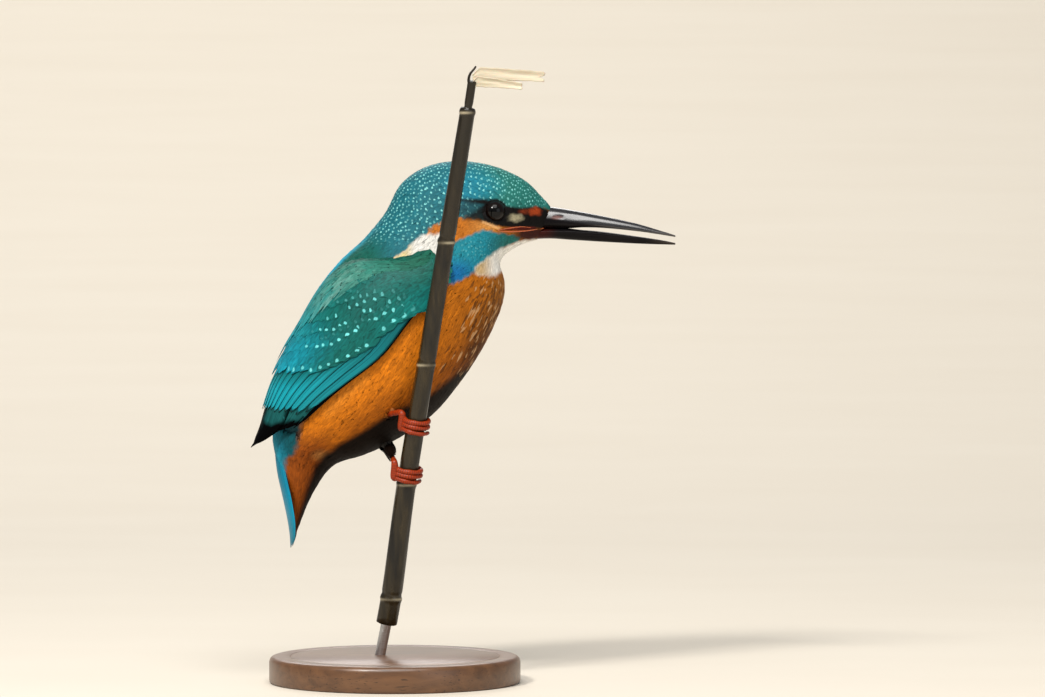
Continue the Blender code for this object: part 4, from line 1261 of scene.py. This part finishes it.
# %% The bill's finish
# Horn: a keratin sheath, near black, with fine growth lines along it. The ridge and the upper
# flank are polished and take a broad pale highlight. The cutting edges and the lower half are
# worn matt. It is scuffed paler at the tip, and reddish where the lower half meets the gape.
bill_horn, tree = new_material("bill_horn")
place = add(tree, "TexCoord").outputs["Object"]
stretched = add(tree, "Mapping", {0: place, 3: (120.0, 1500.0, 1500.0)})
lines = add(tree, "TexNoise", {"Vector": stretched, "Scale": 1.0, "Detail": 4.0})
axis = add(tree, "SeparateXYZ", {0: place})
base_red = add(tree, "MapRange", {0: axis.outputs["X"], 1: 0.0500, 2: 0.0440, 3: 0.0, 4: 0.55},
               interpolation_type="SMOOTHSTEP")
low_half = add(tree, "MapRange", {0: axis.outputs["Z"], 1: 0.1378, 2: 0.1366, 3: 0.0, 4: 1.0})
redness = add(tree, "Math", {0: base_red, 1: low_half}, operation="MULTIPLY")
dark = add(tree, "Mix", {0: lines, 6: "#050405", 7: "#1b1819"}, data_type="RGBA")
worn = add(tree, "MapRange", {0: axis.outputs["X"], 1: 0.076, 2: 0.086, 3: 0.0, 4: 0.4})
tipped = add(tree, "Mix", {0: worn, 6: dark, 7: "#5a4f45"}, data_type="RGBA")
reddened = add(tree, "Mix", {0: redness, 6: tipped, 7: "#4c160e"}, data_type="RGBA")
gloss = add(tree, "MapRange", {0: lines, 1: 0.3, 2: 0.7, 3: 0.22, 4: 0.34})
bump = add(tree, "Bump", {"Height": lines, "Strength": 0.2, "Distance": 0.0001})
# The polish ends on a slanting line halfway down the upper half.
waist = add(tree, "MapRange", {0: axis.outputs["X"], 1: 0.047, 2: 0.0849, 3: 0.1402, 4: 0.1344})
over = add(tree, "Math", {0: axis.outputs["Z"], 1: waist}, operation="SUBTRACT")
polish = add(tree, "MapRange", {0: over, 1: -0.0006, 2: 0.0005, 3: 0.06, 4: 1.0},
             interpolation_type="SMOOTHSTEP")
sheen = add(tree, "Math", {0: polish, 1: 0.5}, operation="MULTIPLY")
# Round the nostril the horn gives way to bare skin, matt and fleshy.
nostril = add(tree, "VectorMath", {0: place, 1: (0.0490, 0.0, 0.14035)}, operation="SUBTRACT")
nostril = add(tree, "VectorMath", {0: nostril, 1: (550.0, 0.0, 1600.0)}, operation="MULTIPLY")
nostril = add(tree, "VectorMath", {0: nostril}, operation="LENGTH")
nostril = add(tree, "MapRange", {0: nostril, 1: 1.3, 2: 0.3, 3: 0.0, 4: 0.9})
fleshy = add(tree, "Mix", {0: nostril, 6: reddened, 7: "#6a3a30"}, data_type="RGBA")
matt_skin = add(tree, "Math", {0: 1.0, 1: nostril}, operation="SUBTRACT")
coat = add(tree, "Math", {0: polish, 1: matt_skin}, operation="MULTIPLY")
shader = add(tree, "BsdfPrincipled", {
    "Base Color": fleshy, "Roughness": gloss, "Normal": bump, "IOR": 1.56, "Specular IOR Level": sheen,
    "Coat Weight": coat, "Coat Roughness": 0.16, "Coat IOR": 1.65})
add(tree, "OutputMaterial", {0: shader})

for name, table, upper in (("bill_upper", UPPER_BILL, True), ("bill_lower", LOWER_BILL, False)):
    horn = finish_mesh(name + "_horn", loft(bill_rings(table, upper)), bill_horn)
    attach(horn, "root")
    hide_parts(name)
    print(horn.name, "has", len(horn.data.polygons), "faces")

# %% [markdown]
# ## Eyes and lids
# The eye is a dark wet ball, nearly all pupil, with a brown iris that only shows close up.
# A fleshy lid rings it, a little pointed towards the bill. The lid is a small circle spun
# round the eye's axis, then stretched and laid against the head.

# %% The eyes' finish
# Cornea over a dark iris: a mirror-smooth wet coat over brown, with a black round pupil.
wet_eye, tree = new_material("wet_eye")
place = add(tree, "TexCoord").outputs["Object"]
centred = add(tree, "VectorMath", {0: place, 1: (-EYE[0] * MM, 0, -EYE[2] * MM)}, operation="ADD")
facing = add(tree, "VectorMath", {0: centred, 1: (1, 0, 1)}, operation="MULTIPLY")
radius = add(tree, "VectorMath", {0: facing}, operation="LENGTH")
pupil = add(tree, "MapRange", {0: radius, 1: 0.0017, 2: 0.0019, 3: 0.0, 4: 1.0})
flecks = add(tree, "TexNoise", {"Vector": centred, "Scale": 2500.0, "Detail": 3.0})
iris = add(tree, "Mix", {0: flecks, 6: "#070303", 7: "#140a06"}, data_type="RGBA")
ball = add(tree, "Mix", {0: pupil, 6: "#020202", 7: iris}, data_type="RGBA")
shader = add(tree, "BsdfPrincipled", {"Base Color": ball, "Roughness": 0.3, "Specular IOR Level": 0.05,
                                      "Coat Weight": 1.0, "Coat Roughness": 0.015, "Coat IOR": 1.27})
add(tree, "OutputMaterial", {0: shader})

# Bare lid skin: thin, dark and finely wrinkled, with a slight moist gleam.
lid_skin = mottled_material("lid_skin", 3000.0, 2.0, ("#050404", "#100c0b"),
                            {"Roughness": 0.55, "Specular IOR Level": 0.2}, relief=(0.0001, 0.5))

head_bm = bmesh.new()
head_bm.from_mesh(frame["nodes"]["head"].data)
bmesh.ops.remove_doubles(head_bm, verts=head_bm.verts, dist=MERGE)
head_shape = BVHTree.FromBMesh(head_bm)
head_bm.free()


def head_side(x, z, side):
    """How far out the head reaches at (x, z) on one side, in millimetres."""
    start = Vector((x, BIRD_Y + side * 40, z)) * MM
    hit = head_shape.ray_cast(start, Vector((0, -side, 0)))
    return hit[0].y / MM if hit[0] else BIRD_Y + side * 3.0


print("beside the eye the head reaches", round(head_side(25.5, 142.5, -1) - BIRD_Y, 1), "mm out")

# %% Two eyes, each with its lid
LID_RADIUS, LID_THICKNESS = 3.12, 0.46
QUARTER_TURN = math.radians(90)
for label, side in Y_SIDES:
    bm = bmesh.new()
    bmesh.ops.create_uvsphere(bm, u_segments=48, v_segments=32, radius=EYE_RADIUS)
    bmesh.ops.rotate(bm, verts=bm.verts, cent=(0, 0, 0), matrix=Matrix.Rotation(QUARTER_TURN, 3, "X"))
    centre = Vector((EYE[0], BIRD_Y + side * EYE[1], EYE[2]))
    bmesh.ops.translate(bm, verts=bm.verts, vec=centre)
    eyeball = finish_mesh("eyeball_" + label, bm, wet_eye)
    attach(eyeball, "root")
    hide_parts("eye_" + label)

    bm = bmesh.new()
    stood_up = Matrix.Translation((LID_RADIUS, 0, 0)) @ Matrix.Rotation(QUARTER_TURN, 4, "X")
    bmesh.ops.create_circle(bm, segments=14, radius=LID_THICKNESS, matrix=stood_up)
    bmesh.ops.spin(bm, geom=bm.verts[:] + bm.edges[:], cent=(0, 0, 0), axis=(0, 1, 0), angle=math.tau,
                   steps=64, use_merge=True)
    for vert in bm.verts:
        front = max(vert.co.x, 0) / 3.2
        vert.co.z *= 0.98 - 0.16 * front ** 2
        vert.co.x *= 1.03 + 0.10 * front ** 3
        vert.co.y = 0.75 * vert.co.y + 0.05 * math.sin(14 * math.atan2(vert.co.z, vert.co.x))
        ring_x, ring_z = vert.co.x * 1.25 + centre.x, vert.co.z * 1.25 + centre.z
        vert.co.y += head_side(ring_x, ring_z, side) - 0.45 * side
        vert.co.x += centre.x
        vert.co.z += centre.z
    bmesh.ops.recalc_face_normals(bm, faces=bm.faces)
    lid = finish_mesh("eyelid_" + label, bm, lid_skin)
    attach(lid, "root")
    print("lid spans", [round(d / MM, 1) for d in lid.dimensions], "mm")

# %% [markdown]
# ## The gape
# At the corner of the mouth a soft red fold of skin joins the two halves of the bill, and
# runs back under the eye. It is a thin tube along the head's side, flattened against it.

# %% The red folds of the gape
def tube(stations, sides):
    """A closed bmesh round a path of (centre, radius) stations."""
    centres = [Vector(centre) for centre, _ in stations]
    rings, across = [], None
    for i, (_, radius) in enumerate(stations):
        ahead = centres[min(i + 1, len(centres) - 1)] - centres[max(i - 1, 0)]
        ahead.normalize()
        across = across or ahead.orthogonal()
        across = (across - ahead * across.dot(ahead)).normalized()
        other = ahead.cross(across)
        turn = [math.tau * k / sides for k in range(sides)]
        rings.append([centres[i] + (across * math.cos(a) + other * math.sin(a)) * radius for a in turn])
    return loft(rings)


# Moist skin: coral red, soft and slightly see-through, with a wet gleam.
gape_skin = mottled_material("gape_skin", 1400.0, 2.0, ("#a03c1e", "#cf7440"), {
    "Roughness": 0.35, "Subsurface Weight": 0.2, "Subsurface Scale": 0.0008})

UPPER_LIP = ((31.2, 136.8), (33.5, 137.2), (36.0, 137.5), (38.4, 137.7), (41.0, 137.4), (45.0, 137.1))
LOWER_LIP = ((31.2, 136.7), (33.5, 136.3), (37.0, 136.3), (40.5, 136.5), (43.0, 136.8), (45.0, 137.0))
for label, side in Y_SIDES:
    bm = bmesh.new()
    for lip, fullest in ((UPPER_LIP, 0.17), (LOWER_LIP, 0.22)):
        stations = []
        for share in np.linspace(0, 1, 30):
            x, z = between(lip, np.array([share * (len(lip) - 1)]))[0]
            fat = fullest * (0.45 + 0.55 * math.sin(math.pi * min(share * 1.3, 1.0)))
            stations.append((Vector((x, head_side(x, z, side) + side * (0.1 - 0.3 * (share > 0.8)), z)), fat))
        pour(tube(stations, 10), bm)
    gape = finish_mesh("gape_" + label, bm, gape_skin)
    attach(gape, "root")
    print(gape.name, "has", len(gape.data.polygons), "faces")

# %% [markdown]
# ## The reed
# The perch is a dead reed stem: a hollow cane with a thin hard skin, ringed at its joints,
# greyed by weather and blackened by mould. It was broken at the top, where a pale flake of
# husk and a curled sliver of skin are left. Its middle line runs through the same points as
# the frame's reed.

# %% The reed's line and thickness
REED_LINE = ((-6.1, 4.3, 1.5), (-1.2, -0.4, 25.2), (3.5, -5.5, 59.4), (9.7, -13.0, 97.0),
             (15.8, -20.4, 133.9), (22.3, -28.3, 173.6), (24.1, -30.5, 186.0))
REED_FOOT_Z, REED_TOP_Z = 18.0, 182.2
REED_JOINTS_Z = (25.5, 60.5, 97.0, 134.0, 173.0)
FOOT_RADIUS, TAPER, BROKEN_RADIUS = 3.15, 0.9, 1.3


def reed_centre(z):
    """The reed's centre at a height."""
    low, high = 0.0, float(len(REED_LINE) - 1)
    for _ in range(40):
        middle = (low + high) / 2
        below = between(REED_LINE, np.array([middle]))[0, 2] < z
        low, high = (middle, high) if below else (low, middle)
    return Vector(between(REED_LINE, np.array([low]))[0])


def reed_direction(z):
    """The way the reed runs at a height, upwards."""
    return (reed_centre(z + 1) - reed_centre(z - 1)).normalized()


def reed_radius(z):
    """The reed's radius at a height. It tapers upwards, and swells at each joint."""
    share = (z - REED_FOOT_Z) / (REED_JOINTS_Z[-1] - REED_FOOT_Z)
    radius = FOOT_RADIUS - TAPER * min(share, 1.0)
    if z > REED_JOINTS_Z[-1] + 1.2:
        radius = BROKEN_RADIUS
    for joint in REED_JOINTS_Z:
        radius += 0.22 * math.exp(-(((z - joint) / 0.7) ** 2))
        radius -= 0.14 * math.exp(-(((z - joint - 1.5) / 0.7) ** 2))
    return radius


print("the reed leans", round(math.degrees(reed_direction(90).angle(Vector((0, 0, 1)))), 1), "degrees")

# %% The reed's finishes
# Weathered cane: streaks along the stem, brown where the skin is sound, grey-black with mould
# where it is not, and half glossy. A pale ring marks each joint. The fibres' streaks are
# drawn coarser than the real ones so that they show.
weathered_cane, tree = new_material("weathered_cane")
place = add(tree, "TexCoord").outputs["Object"]
along = add(tree, "Mapping", {0: place, 3: (1100.0, 1100.0, 28.0)})
streaks = add(tree, "TexNoise", {"Vector": along, "Scale": 1.0, "Detail": 5.0})
blotchy = add(tree, "Mapping", {0: place, 3: (260.0, 260.0, 45.0)})
patchy = add(tree, "TexNoise", {"Vector": blotchy, "Scale": 1.0, "Detail": 4.0})
mould = add(tree, "MapRange", {0: patchy, 1: 0.42, 2: 0.62, 3: 0.0, 4: 0.85})
height = add(tree, "SeparateXYZ", {0: place}).outputs["Z"]
higher = add(tree, "MapRange", {0: height, 1: 0.10, 2: 0.165, 3: 0.0, 4: 0.6})
blacker = add(tree, "Math", {0: mould, 1: higher}, operation="MAXIMUM")
cane = add(tree, "Mix", {0: streaks, 6: "#090703", 7: "#3a2f19"}, data_type="RGBA")
black = add(tree, "Mix", {0: blacker, 6: cane, 7: "#0a0805"}, data_type="RGBA")
joint = add(tree, "Attribute", attribute_name="joint")
ringed = add(tree, "Mix", {0: joint.outputs["Fac"], 6: black, 7: "#a99d82"}, data_type="RGBA")
bump = add(tree, "Bump", {"Height": streaks, "Strength": 0.35, "Distance": 0.0003})
gloss = add(tree, "MapRange", {0: patchy, 1: 0.35, 2: 0.65, 3: 0.22, 4: 0.5})
shader = add(tree, "BsdfPrincipled", {"Base Color": ringed, "Roughness": gloss, "Normal": bump,
                                      "Specular IOR Level": 0.4})
add(tree, "OutputMaterial", {0: shader})

# Dry husk: papery and pale, with fine straight fibres, and light shining through a little.
dry_husk = mottled_material("dry_husk", 1.0, 3.0, ("#a5987a", "#dcd4bf"), {
    "Roughness": 0.7, "Subsurface Weight": 0.15, "Subsurface Scale": 0.001},
    relief=(0.0002, 0.4), stretch=(60.0, 900.0, 1600.0))
print("reed finishes:", weathered_cane.name, dry_husk.name)

# %% The stem, the husk and the sliver
STEM_SIDES = 36
HUSK_ALONG, HUSK_ACROSS = 36, 10
heights = sorted({*np.arange(REED_FOOT_Z, REED_TOP_Z, 2.0).tolist(), REED_TOP_Z,
                  *(j + s for j in REED_JOINTS_Z for s in np.linspace(-1.8, 2.8, 16))})
rings = []
for z in heights:
    up, centre = reed_direction(z), reed_centre(z)
    across = (Vector((1, 0, 0)) - up * up.x).normalized()
    other = up.cross(across)
    ring = []
    for k in range(STEM_SIDES):
        turn = math.tau * k / STEM_SIDES
        ridge = 1 + 0.012 * math.cos(9 * turn + 0.04 * z) + 0.008 * math.cos(14 * turn)
        ring.append(centre + (across * math.cos(turn) + other * math.sin(turn)) * reed_radius(z) * ridge)
    rings.append(ring)
stem = finish_mesh("reed_stem", loft(rings), weathered_cane)
ring_strength = []
for vert in stem.data.vertices:
    away = vert.co / MM - reed_centre(vert.co.z / MM)
    worn = 0.6 + 0.4 * math.sin(2 * math.atan2(away.y, away.x) + 0.07 * vert.co.z / MM)
    near = (math.exp(-(((vert.co.z / MM - joint + 0.25) / 0.34) ** 2)) for joint in REED_JOINTS_Z)
    ring_strength.append(worn * max(near))
stem.data.attributes.new("joint", "FLOAT", "POINT").data.foreach_set("value", ring_strength)
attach(stem, "root")
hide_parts("perch_reed")

# Two torn strips of one husk: lower and upper edge at the reed, the same at the free end, how
# far they reach, in millimetres from the broken top, and how deeply the free end is forked.
STRIPS = ((-0.9, 2.3, -1.9, 0.1, 14.4, 0.0), (1.0, 4.9, 0.4, 3.4, 21.2, 0.08))
dice = np.random.default_rng(11)
bm = bmesh.new()
for layer, (low, high, end_low, end_high, reach, fork) in enumerate(STRIPS):
    grid = bmesh.ops.create_grid(bm, x_segments=HUSK_ALONG, y_segments=HUSK_ACROSS, size=0.5)["verts"]
    torn = np.cumsum(dice.normal(0, 0.012, HUSK_ACROSS + 1))
    for vert in grid:
        along, across = vert.co.x + 0.5, vert.co.y + 0.5
        tear = torn[int(round(across * HUSK_ACROSS))] - fork * math.exp(-(((across - 0.45) / 0.1) ** 2))
        bottom, top = low + (end_low - low) * along, high + (end_high - high) * along
        wave = 0.05 * math.sin(along * 17 + layer) + 0.04 * math.sin(along * 41)
        root_in = min(1.0, 0.35 + 6 * along)
        vert.co.x = along * reach * (1 + tear * along)
        vert.co.z = bottom + (top - bottom) * across * root_in + wave
        vert.co.y = (1.1 * math.sin(along * 2.4) - 1.2 * (across - 0.5) ** 2
                     + 0.12 * math.sin(across * 9 + along * 4) + 0.45 * layer)
bm.normal_update()
bmesh.ops.solidify(bm, geom=bm.verts[:] + bm.edges[:] + bm.faces[:], thickness=0.22)
bmesh.ops.recalc_face_normals(bm, faces=bm.faces)
bmesh.ops.translate(bm, vec=reed_centre(REED_TOP_Z) + Vector((0.2, -0.2, -0.6)), verts=bm.verts)
husk = finish_mesh("reed_husk", bm, dry_husk)
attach(husk, "root")

root = reed_centre(REED_TOP_Z - 1.0) + Vector((-0.7, 0, 0))
bends = np.array(((0, 0, 0), (-0.15, 0, 1.6), (0.35, 0.1, 3.2), (1.5, 0.1, 4.6), (2.0, 0, 5.4)), float)
curl = [(root + Vector(between(bends, np.array([s]))[0]), 0.5 * (1 - 0.12 * s))
        for s in np.linspace(0, len(bends) - 1, 25)]
sliver = finish_mesh("reed_sliver", tube(curl, 12), weathered_cane)
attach(sliver, "root")
print("reed pieces:", [o.name for o in (stem, husk, sliver)])

# %% [markdown]
# ## Legs and feet
# A kingfisher's legs are very short and its feet weak and red. Three toes point forwards, and
# the outer two are joined for most of their length. They are lofted round the reed, with low
# cross-wise scutes on the toes, and each claw is a piece of its own.

# %% The feet's finishes
# Scaly foot skin: coral red and waxy, with painted shade in the grooves between the scutes.
foot_skin, tree = new_material("foot_skin")
waxy = add(tree, "TexNoise", {"Scale": 700.0, "Detail": 4.0})
groove = add(tree, "Attribute", attribute_name="groove")
tone = add(tree, "Mix", {0: waxy, 6: "#6b1a05", 7: "#bf420c"}, data_type="RGBA")
# Painted shade: the grooves are darkened by their strength.
lined = add(tree, "Mix", {0: groove.outputs["Fac"], 6: tone, 7: "#3a0d07"}, data_type="RGBA")
bump = add(tree, "Bump", {"Height": waxy, "Strength": 0.3, "Distance": 0.0001})
shader = add(tree, "BsdfPrincipled", {
    "Base Color": lined, "Roughness": 0.38, "Normal": bump, "Specular IOR Level": 0.3,
    "Subsurface Weight": 0.04, "Subsurface Scale": 0.0006})
add(tree, "OutputMaterial", {0: shader})

# Claw horn: dark brown, smooth and half glossy.
claw_horn = mottled_material("claw_horn", 1800.0, 2.0, ("#140d0a", "#3b2a20"),
                             {"Roughness": 0.3, "IOR": 1.54})
print("foot finishes:", foot_skin.name, claw_horn.name)

# %% Toes round the reed
TOE_RADIUS = 0.85
GAP = 0.34  # between a toe's skin and the reed, where the foot's pad begins
TUBE_SIDES = 16
TOE_STEPS, SCUTES = 80, 20


def round_reed(z, degrees, clear):
    """A point beside the reed, by the angle round it from +X towards +Y."""
    up = reed_direction(z)
    across = (Vector((1, 0, 0)) - up * up.x).normalized()
    other = up.cross(across)
    turn = math.radians(degrees)
    return reed_centre(z) + (across * math.cos(turn) + other * math.sin(turn)) * (reed_radius(z) + clear)


def toe(z, start, end, drop):
    """A toe's stations, with its scutes, and the strength of the painted shade in its grooves at each."""
    stations, grooves = [], []
    for i in range(TOE_STEPS + 1):
        share = i / TOE_STEPS
        scute = 0.5 - 0.5 * math.cos(share * SCUTES * math.tau)
        radius = TOE_RADIUS * (1 + 0.10 * math.cos(share * 6 * math.pi)) * (1 - 0.32 * share)
        radius *= 0.94 + 0.06 * scute
        radius *= 1 if share < 0.97 else 0.8
        clear = (TOE_RADIUS + 0.16) * (1 - 0.12 * share)
        stations.append((round_reed(z - drop * share, start + (end - start) * share, clear), radius))
        grooves.append(0.8 * (1 - scute) ** 3)
    return stations, grooves


def claw(z, end, way, drop):
    """A claw's stations, from under the last scute to its point."""
    stops = ((-0.1, 0.75, 0.55), (0.35, 0.62, 0.5), (0.7, 0.6, 0.36), (1.0, 0.2, 0.12))
    path = between(np.array(stops), np.linspace(0, 3, 16))
    return [(round_reed(z - drop - 0.9 * share, end + way * 28 * share, GAP + rise), radius)
            for share, rise, radius in path]


# Each leg: hip and knee from the bird's middle plane, the foot's height and its angle round the
# reed, and how much of the way from the ankle to the knee is bare.
LEGS = (("right", (-7.5, -8.0, 83.0), (-3.5, -12.0, 81.0), 78.5, 185, 0.75),
        ("left", (-8.0, 4.0, 76.0), (-2.0, -4.0, 70.5), 63.6, 200, 0.3))
# The foot's pad, as height above the foot's middle, distance off the toes' line, and radius.
PAD = ((3.3, 0.9, 0.95), (1.4, 0.4, 1.2), (-0.8, 0.35, 1.2), (-1.8, 0.2, 1.05), (-2.4, 0.1, 0.55))
# Each toe: its height on the foot, its way round the reed, how far round, and how far it drops.
TOES = ((1.3, 1, 200, -0.4), (0.1, 1, 222, 0.0), (-1.3, 1, 170, 0.5), (-0.1, -1, 130, 0.8))
SHIN_STEPS = 49
for label, _, knee, z, pad_angle, bare in LEGS:
    bm, claws, grooves = bmesh.new(), bmesh.new(), []
    clear = TOE_RADIUS + GAP
    pad = [(*round_reed(z + rise, pad_angle, clear + off), radius) for rise, off, radius in PAD]
    ankle, knee = Vector(pad[0][:3]), Vector(knee) + Vector((0, BIRD_Y, 0))
    pad = np.array([(*ankle.lerp(knee, bare + 0.2), 0.75), (*ankle.lerp(knee, bare * 0.5), 0.85)] + pad)
    shin = between(pad, np.linspace(0, len(pad) - 1, SHIN_STEPS))
    for _ in range(24):  # rounds of smoothing
        shin[1:-1] = (shin[:-2] + 2 * shin[1:-1] + shin[2:]) / 4
    scales = [0.5 * (0.5 + 0.5 * math.cos(2.2 * i)) for i in range(SHIN_STEPS)]
    parts = [([(Vector(row[:3]), float(row[3])) for row in shin], scales, bm)]
    for rise, way, reach, drop in TOES:
        end = pad_angle + way * reach
        parts.append((*toe(z + rise, pad_angle + way * 8, end, drop), bm))
        parts.append((claw(z + rise, end, way, drop), [], claws))
    for stations, depth, target in parts:
        pour(tube(stations, TUBE_SIDES), target)
        if target is bm:
            grooves += np.repeat(depth, TUBE_SIDES).tolist()
    foot = finish_mesh("toes_" + label, bm, foot_skin)
    foot.data.attributes.new("groove", "FLOAT", "POINT").data.foreach_set("value", grooves)
    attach(foot, "root")
    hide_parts("foot_" + label)
    nails = finish_mesh("claws_" + label, claws, claw_horn)
    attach(nails, "root")
    print(foot.name, "has", len(foot.data.polygons), "faces")

# %% [markdown]
# Down to the ankle the leg wears short feathers, darkened towards the ankle by painted shade. They are
# laid on a tube from the belly to the ankle with the same call that dressed the body.

# %% The feathered shanks
LEG_STEPS = (0.02, 2.0)
for label, hip, knee, z, pad_angle, bare in LEGS:
    ankle = round_reed(z + 3.6, pad_angle, TOE_RADIUS + GAP + 1.0)
    hip, knee = (Vector(place) + Vector((0, BIRD_Y, 0)) for place in (hip, knee))
    low = ankle - (ankle - knee).normalized() * 0.5
    legs_line = np.array([(*hip, 2.7), (*knee, 2.0), (*low, 1.15)])
    whole = (low - hip).normalized()
    across = whole.orthogonal().normalized()
    frame_of_leg = np.array([across, whole.cross(across)])

    def leg_surface(p, degrees):
        row = between(legs_line, p)
        turn = np.radians(degrees)
        ring = np.cos(turn)[:, None] * frame_of_leg[0] + np.sin(turn)[:, None] * frame_of_leg[1]
        return row[:, :3] + ring * row[:, 3:]

    def leg_spacing(p, degrees):
        return np.full(len(p), 0.65), np.full(len(p), 0.6)

    roots = plant(leg_surface, LEG_STEPS, 0.15, 2.0 - bare, (0, 359), leg_spacing)
    dice = np.random.default_rng(95)
    p, q = roots[:, 0], roots[:, 1]
    one = np.ones(len(p))
    turn, high = dice.normal(0, 0.12, len(p)), 0.05 + dice.normal(0, 0.06, len(p))
    places, lean = bend_feathers(leg_surface, LEG_STEPS, (p, q), 2.3 * one, 0.8 * one, turn, -0.3 * one, high,
                                 SILKY, 0.05, 0.1, dice, -1, 0.4)
    # Painted shade: the tufts darken towards the ankle, more on the left leg, which lies lower.
    shank_shade = ease(p, 0.3, 1.2) * (0.9 - 0.5 * bare) * dice.uniform(0.7, 1.1, len(p))
    tint = lay_paint(plumage(leg_surface(p, q))[0], (shank_shade, "#1a0c05"))
    feather_object(f"shank_tufts_{label}", places, SILKY, tint, np.zeros((len(p), 4)),
                   unwrap(13 + p, 120 + q / 6), contour_barbs, lean=lean)
    print("tufts on the", label, "shank:", len(p))

# %% [markdown]
# ## The stand
# A museum would hold the reed on a turned wooden foot with one steel pin. The foot is a
# profile spun round its axis, waxed walnut, and the pin is plain brushed steel.

# %% The turned foot and the pin
# Walnut: broad figure about 3 mm across and open pores half a millimetre apart, as long dark
# lines under a thin satin wax.
waxed_walnut, tree = new_material("waxed_walnut")
place = add(tree, "TexCoord").outputs["Object"]
grain_way = add(tree, "Mapping", {0: place, 3: (22.0, 380.0, 380.0)})
wavy = add(tree, "TexNoise", {"Vector": grain_way, "Scale": 1.0, "Detail": 6.0, "Distortion": 0.6})
pore_way = add(tree, "Mapping", {0: place, 3: (140.0, 2200.0, 2200.0)})
pores = add(tree, "TexNoise", {"Vector": pore_way, "Scale": 1.0, "Detail": 2.0})
wood = add(tree, "Mix", {0: wavy, 6: "#3a2415", 7: "#7d5636"}, data_type="RGBA")
pore = add(tree, "MapRange", {0: pores, 1: 0.38, 2: 0.30, 3: 0.0, 4: 0.7})
grained = add(tree, "Mix", {0: pore, 6: wood, 7: "#21140b"}, data_type="RGBA")
bump = add(tree, "Bump", {"Height": pores, "Strength": 0.15, "Distance": 0.0003})
shader = add(tree, "BsdfPrincipled", {"Base Color": grained, "Roughness": 0.38, "Normal": bump,
                                      "Coat Weight": 0.25, "Coat Roughness": 0.25})
add(tree, "OutputMaterial", {0: shader})

FOOT_TOP = 8.0
HARD_EDGE = math.radians(50)  # sharper folds than this stay crisp
profile = ((0.0, 0.0), (37.3, 0.0), (37.8, 0.25), (38.0, 0.8), (38.0, 6.4), (37.75, 7.2), (37.2, 7.75),
           (36.4, FOOT_TOP), (32.0, FOOT_TOP), (31.7, 7.8), (31.4, FOOT_TOP), (0.0, FOOT_TOP))
bm = bmesh.new()
verts = [bm.verts.new((x, 0, z)) for x, z in profile]
edges = [bm.edges.new(pair) for pair in zip(verts, verts[1:])]
bmesh.ops.spin(bm, geom=verts + edges, cent=(0, 0, 0), axis=(0, 0, 1), angle=math.tau, steps=120,
               use_merge=True)
bmesh.ops.remove_doubles(bm, verts=bm.verts, dist=1e-4)
bmesh.ops.recalc_face_normals(bm, faces=bm.faces)
foot = finish_mesh("turned_foot", bm, waxed_walnut)
foot.data.set_sharp_from_angle(angle=HARD_EDGE)
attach(foot, "root")
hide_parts("stand_base")

# Brushed steel: bare metal with fine marks round the pin from the lathe.
brushed_steel, tree = new_material("brushed_steel")
place = add(tree, "TexCoord").outputs["Object"]
turned = add(tree, "Mapping", {0: place, 3: (200.0, 200.0, 9000.0)})
marks = add(tree, "TexNoise", {"Vector": turned, "Scale": 1.0, "Detail": 2.0})
rough = add(tree, "MapRange", {0: marks, 1: 0.3, 2: 0.7, 3: 0.25, 4: 0.42})
shader = add(tree, "BsdfPrincipled", {"Base Color": "#c3c4c6", "Metallic": 1.0, "Roughness": rough})
add(tree, "OutputMaterial", {0: shader})

PIN_RADIUS, PIN_IN_FOOT, PIN_IN_REED = 1.6, 5.0, 10.0
cut, up = reed_centre(REED_FOOT_Z), reed_direction(REED_FOOT_Z)
low = cut - up * ((cut.z - FOOT_TOP + PIN_IN_FOOT) / up.z)
path = [(centre, PIN_RADIUS) for centre in (low, low + up * 2, cut, cut + up * PIN_IN_REED)]
pin = finish_mesh("steel_pin", tube(path, 40), brushed_steel)
pin.data.set_sharp_from_angle(angle=HARD_EDGE)
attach(pin, "root")
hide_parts("stand_rod")
print("stand pieces:", foot.name, pin.name)
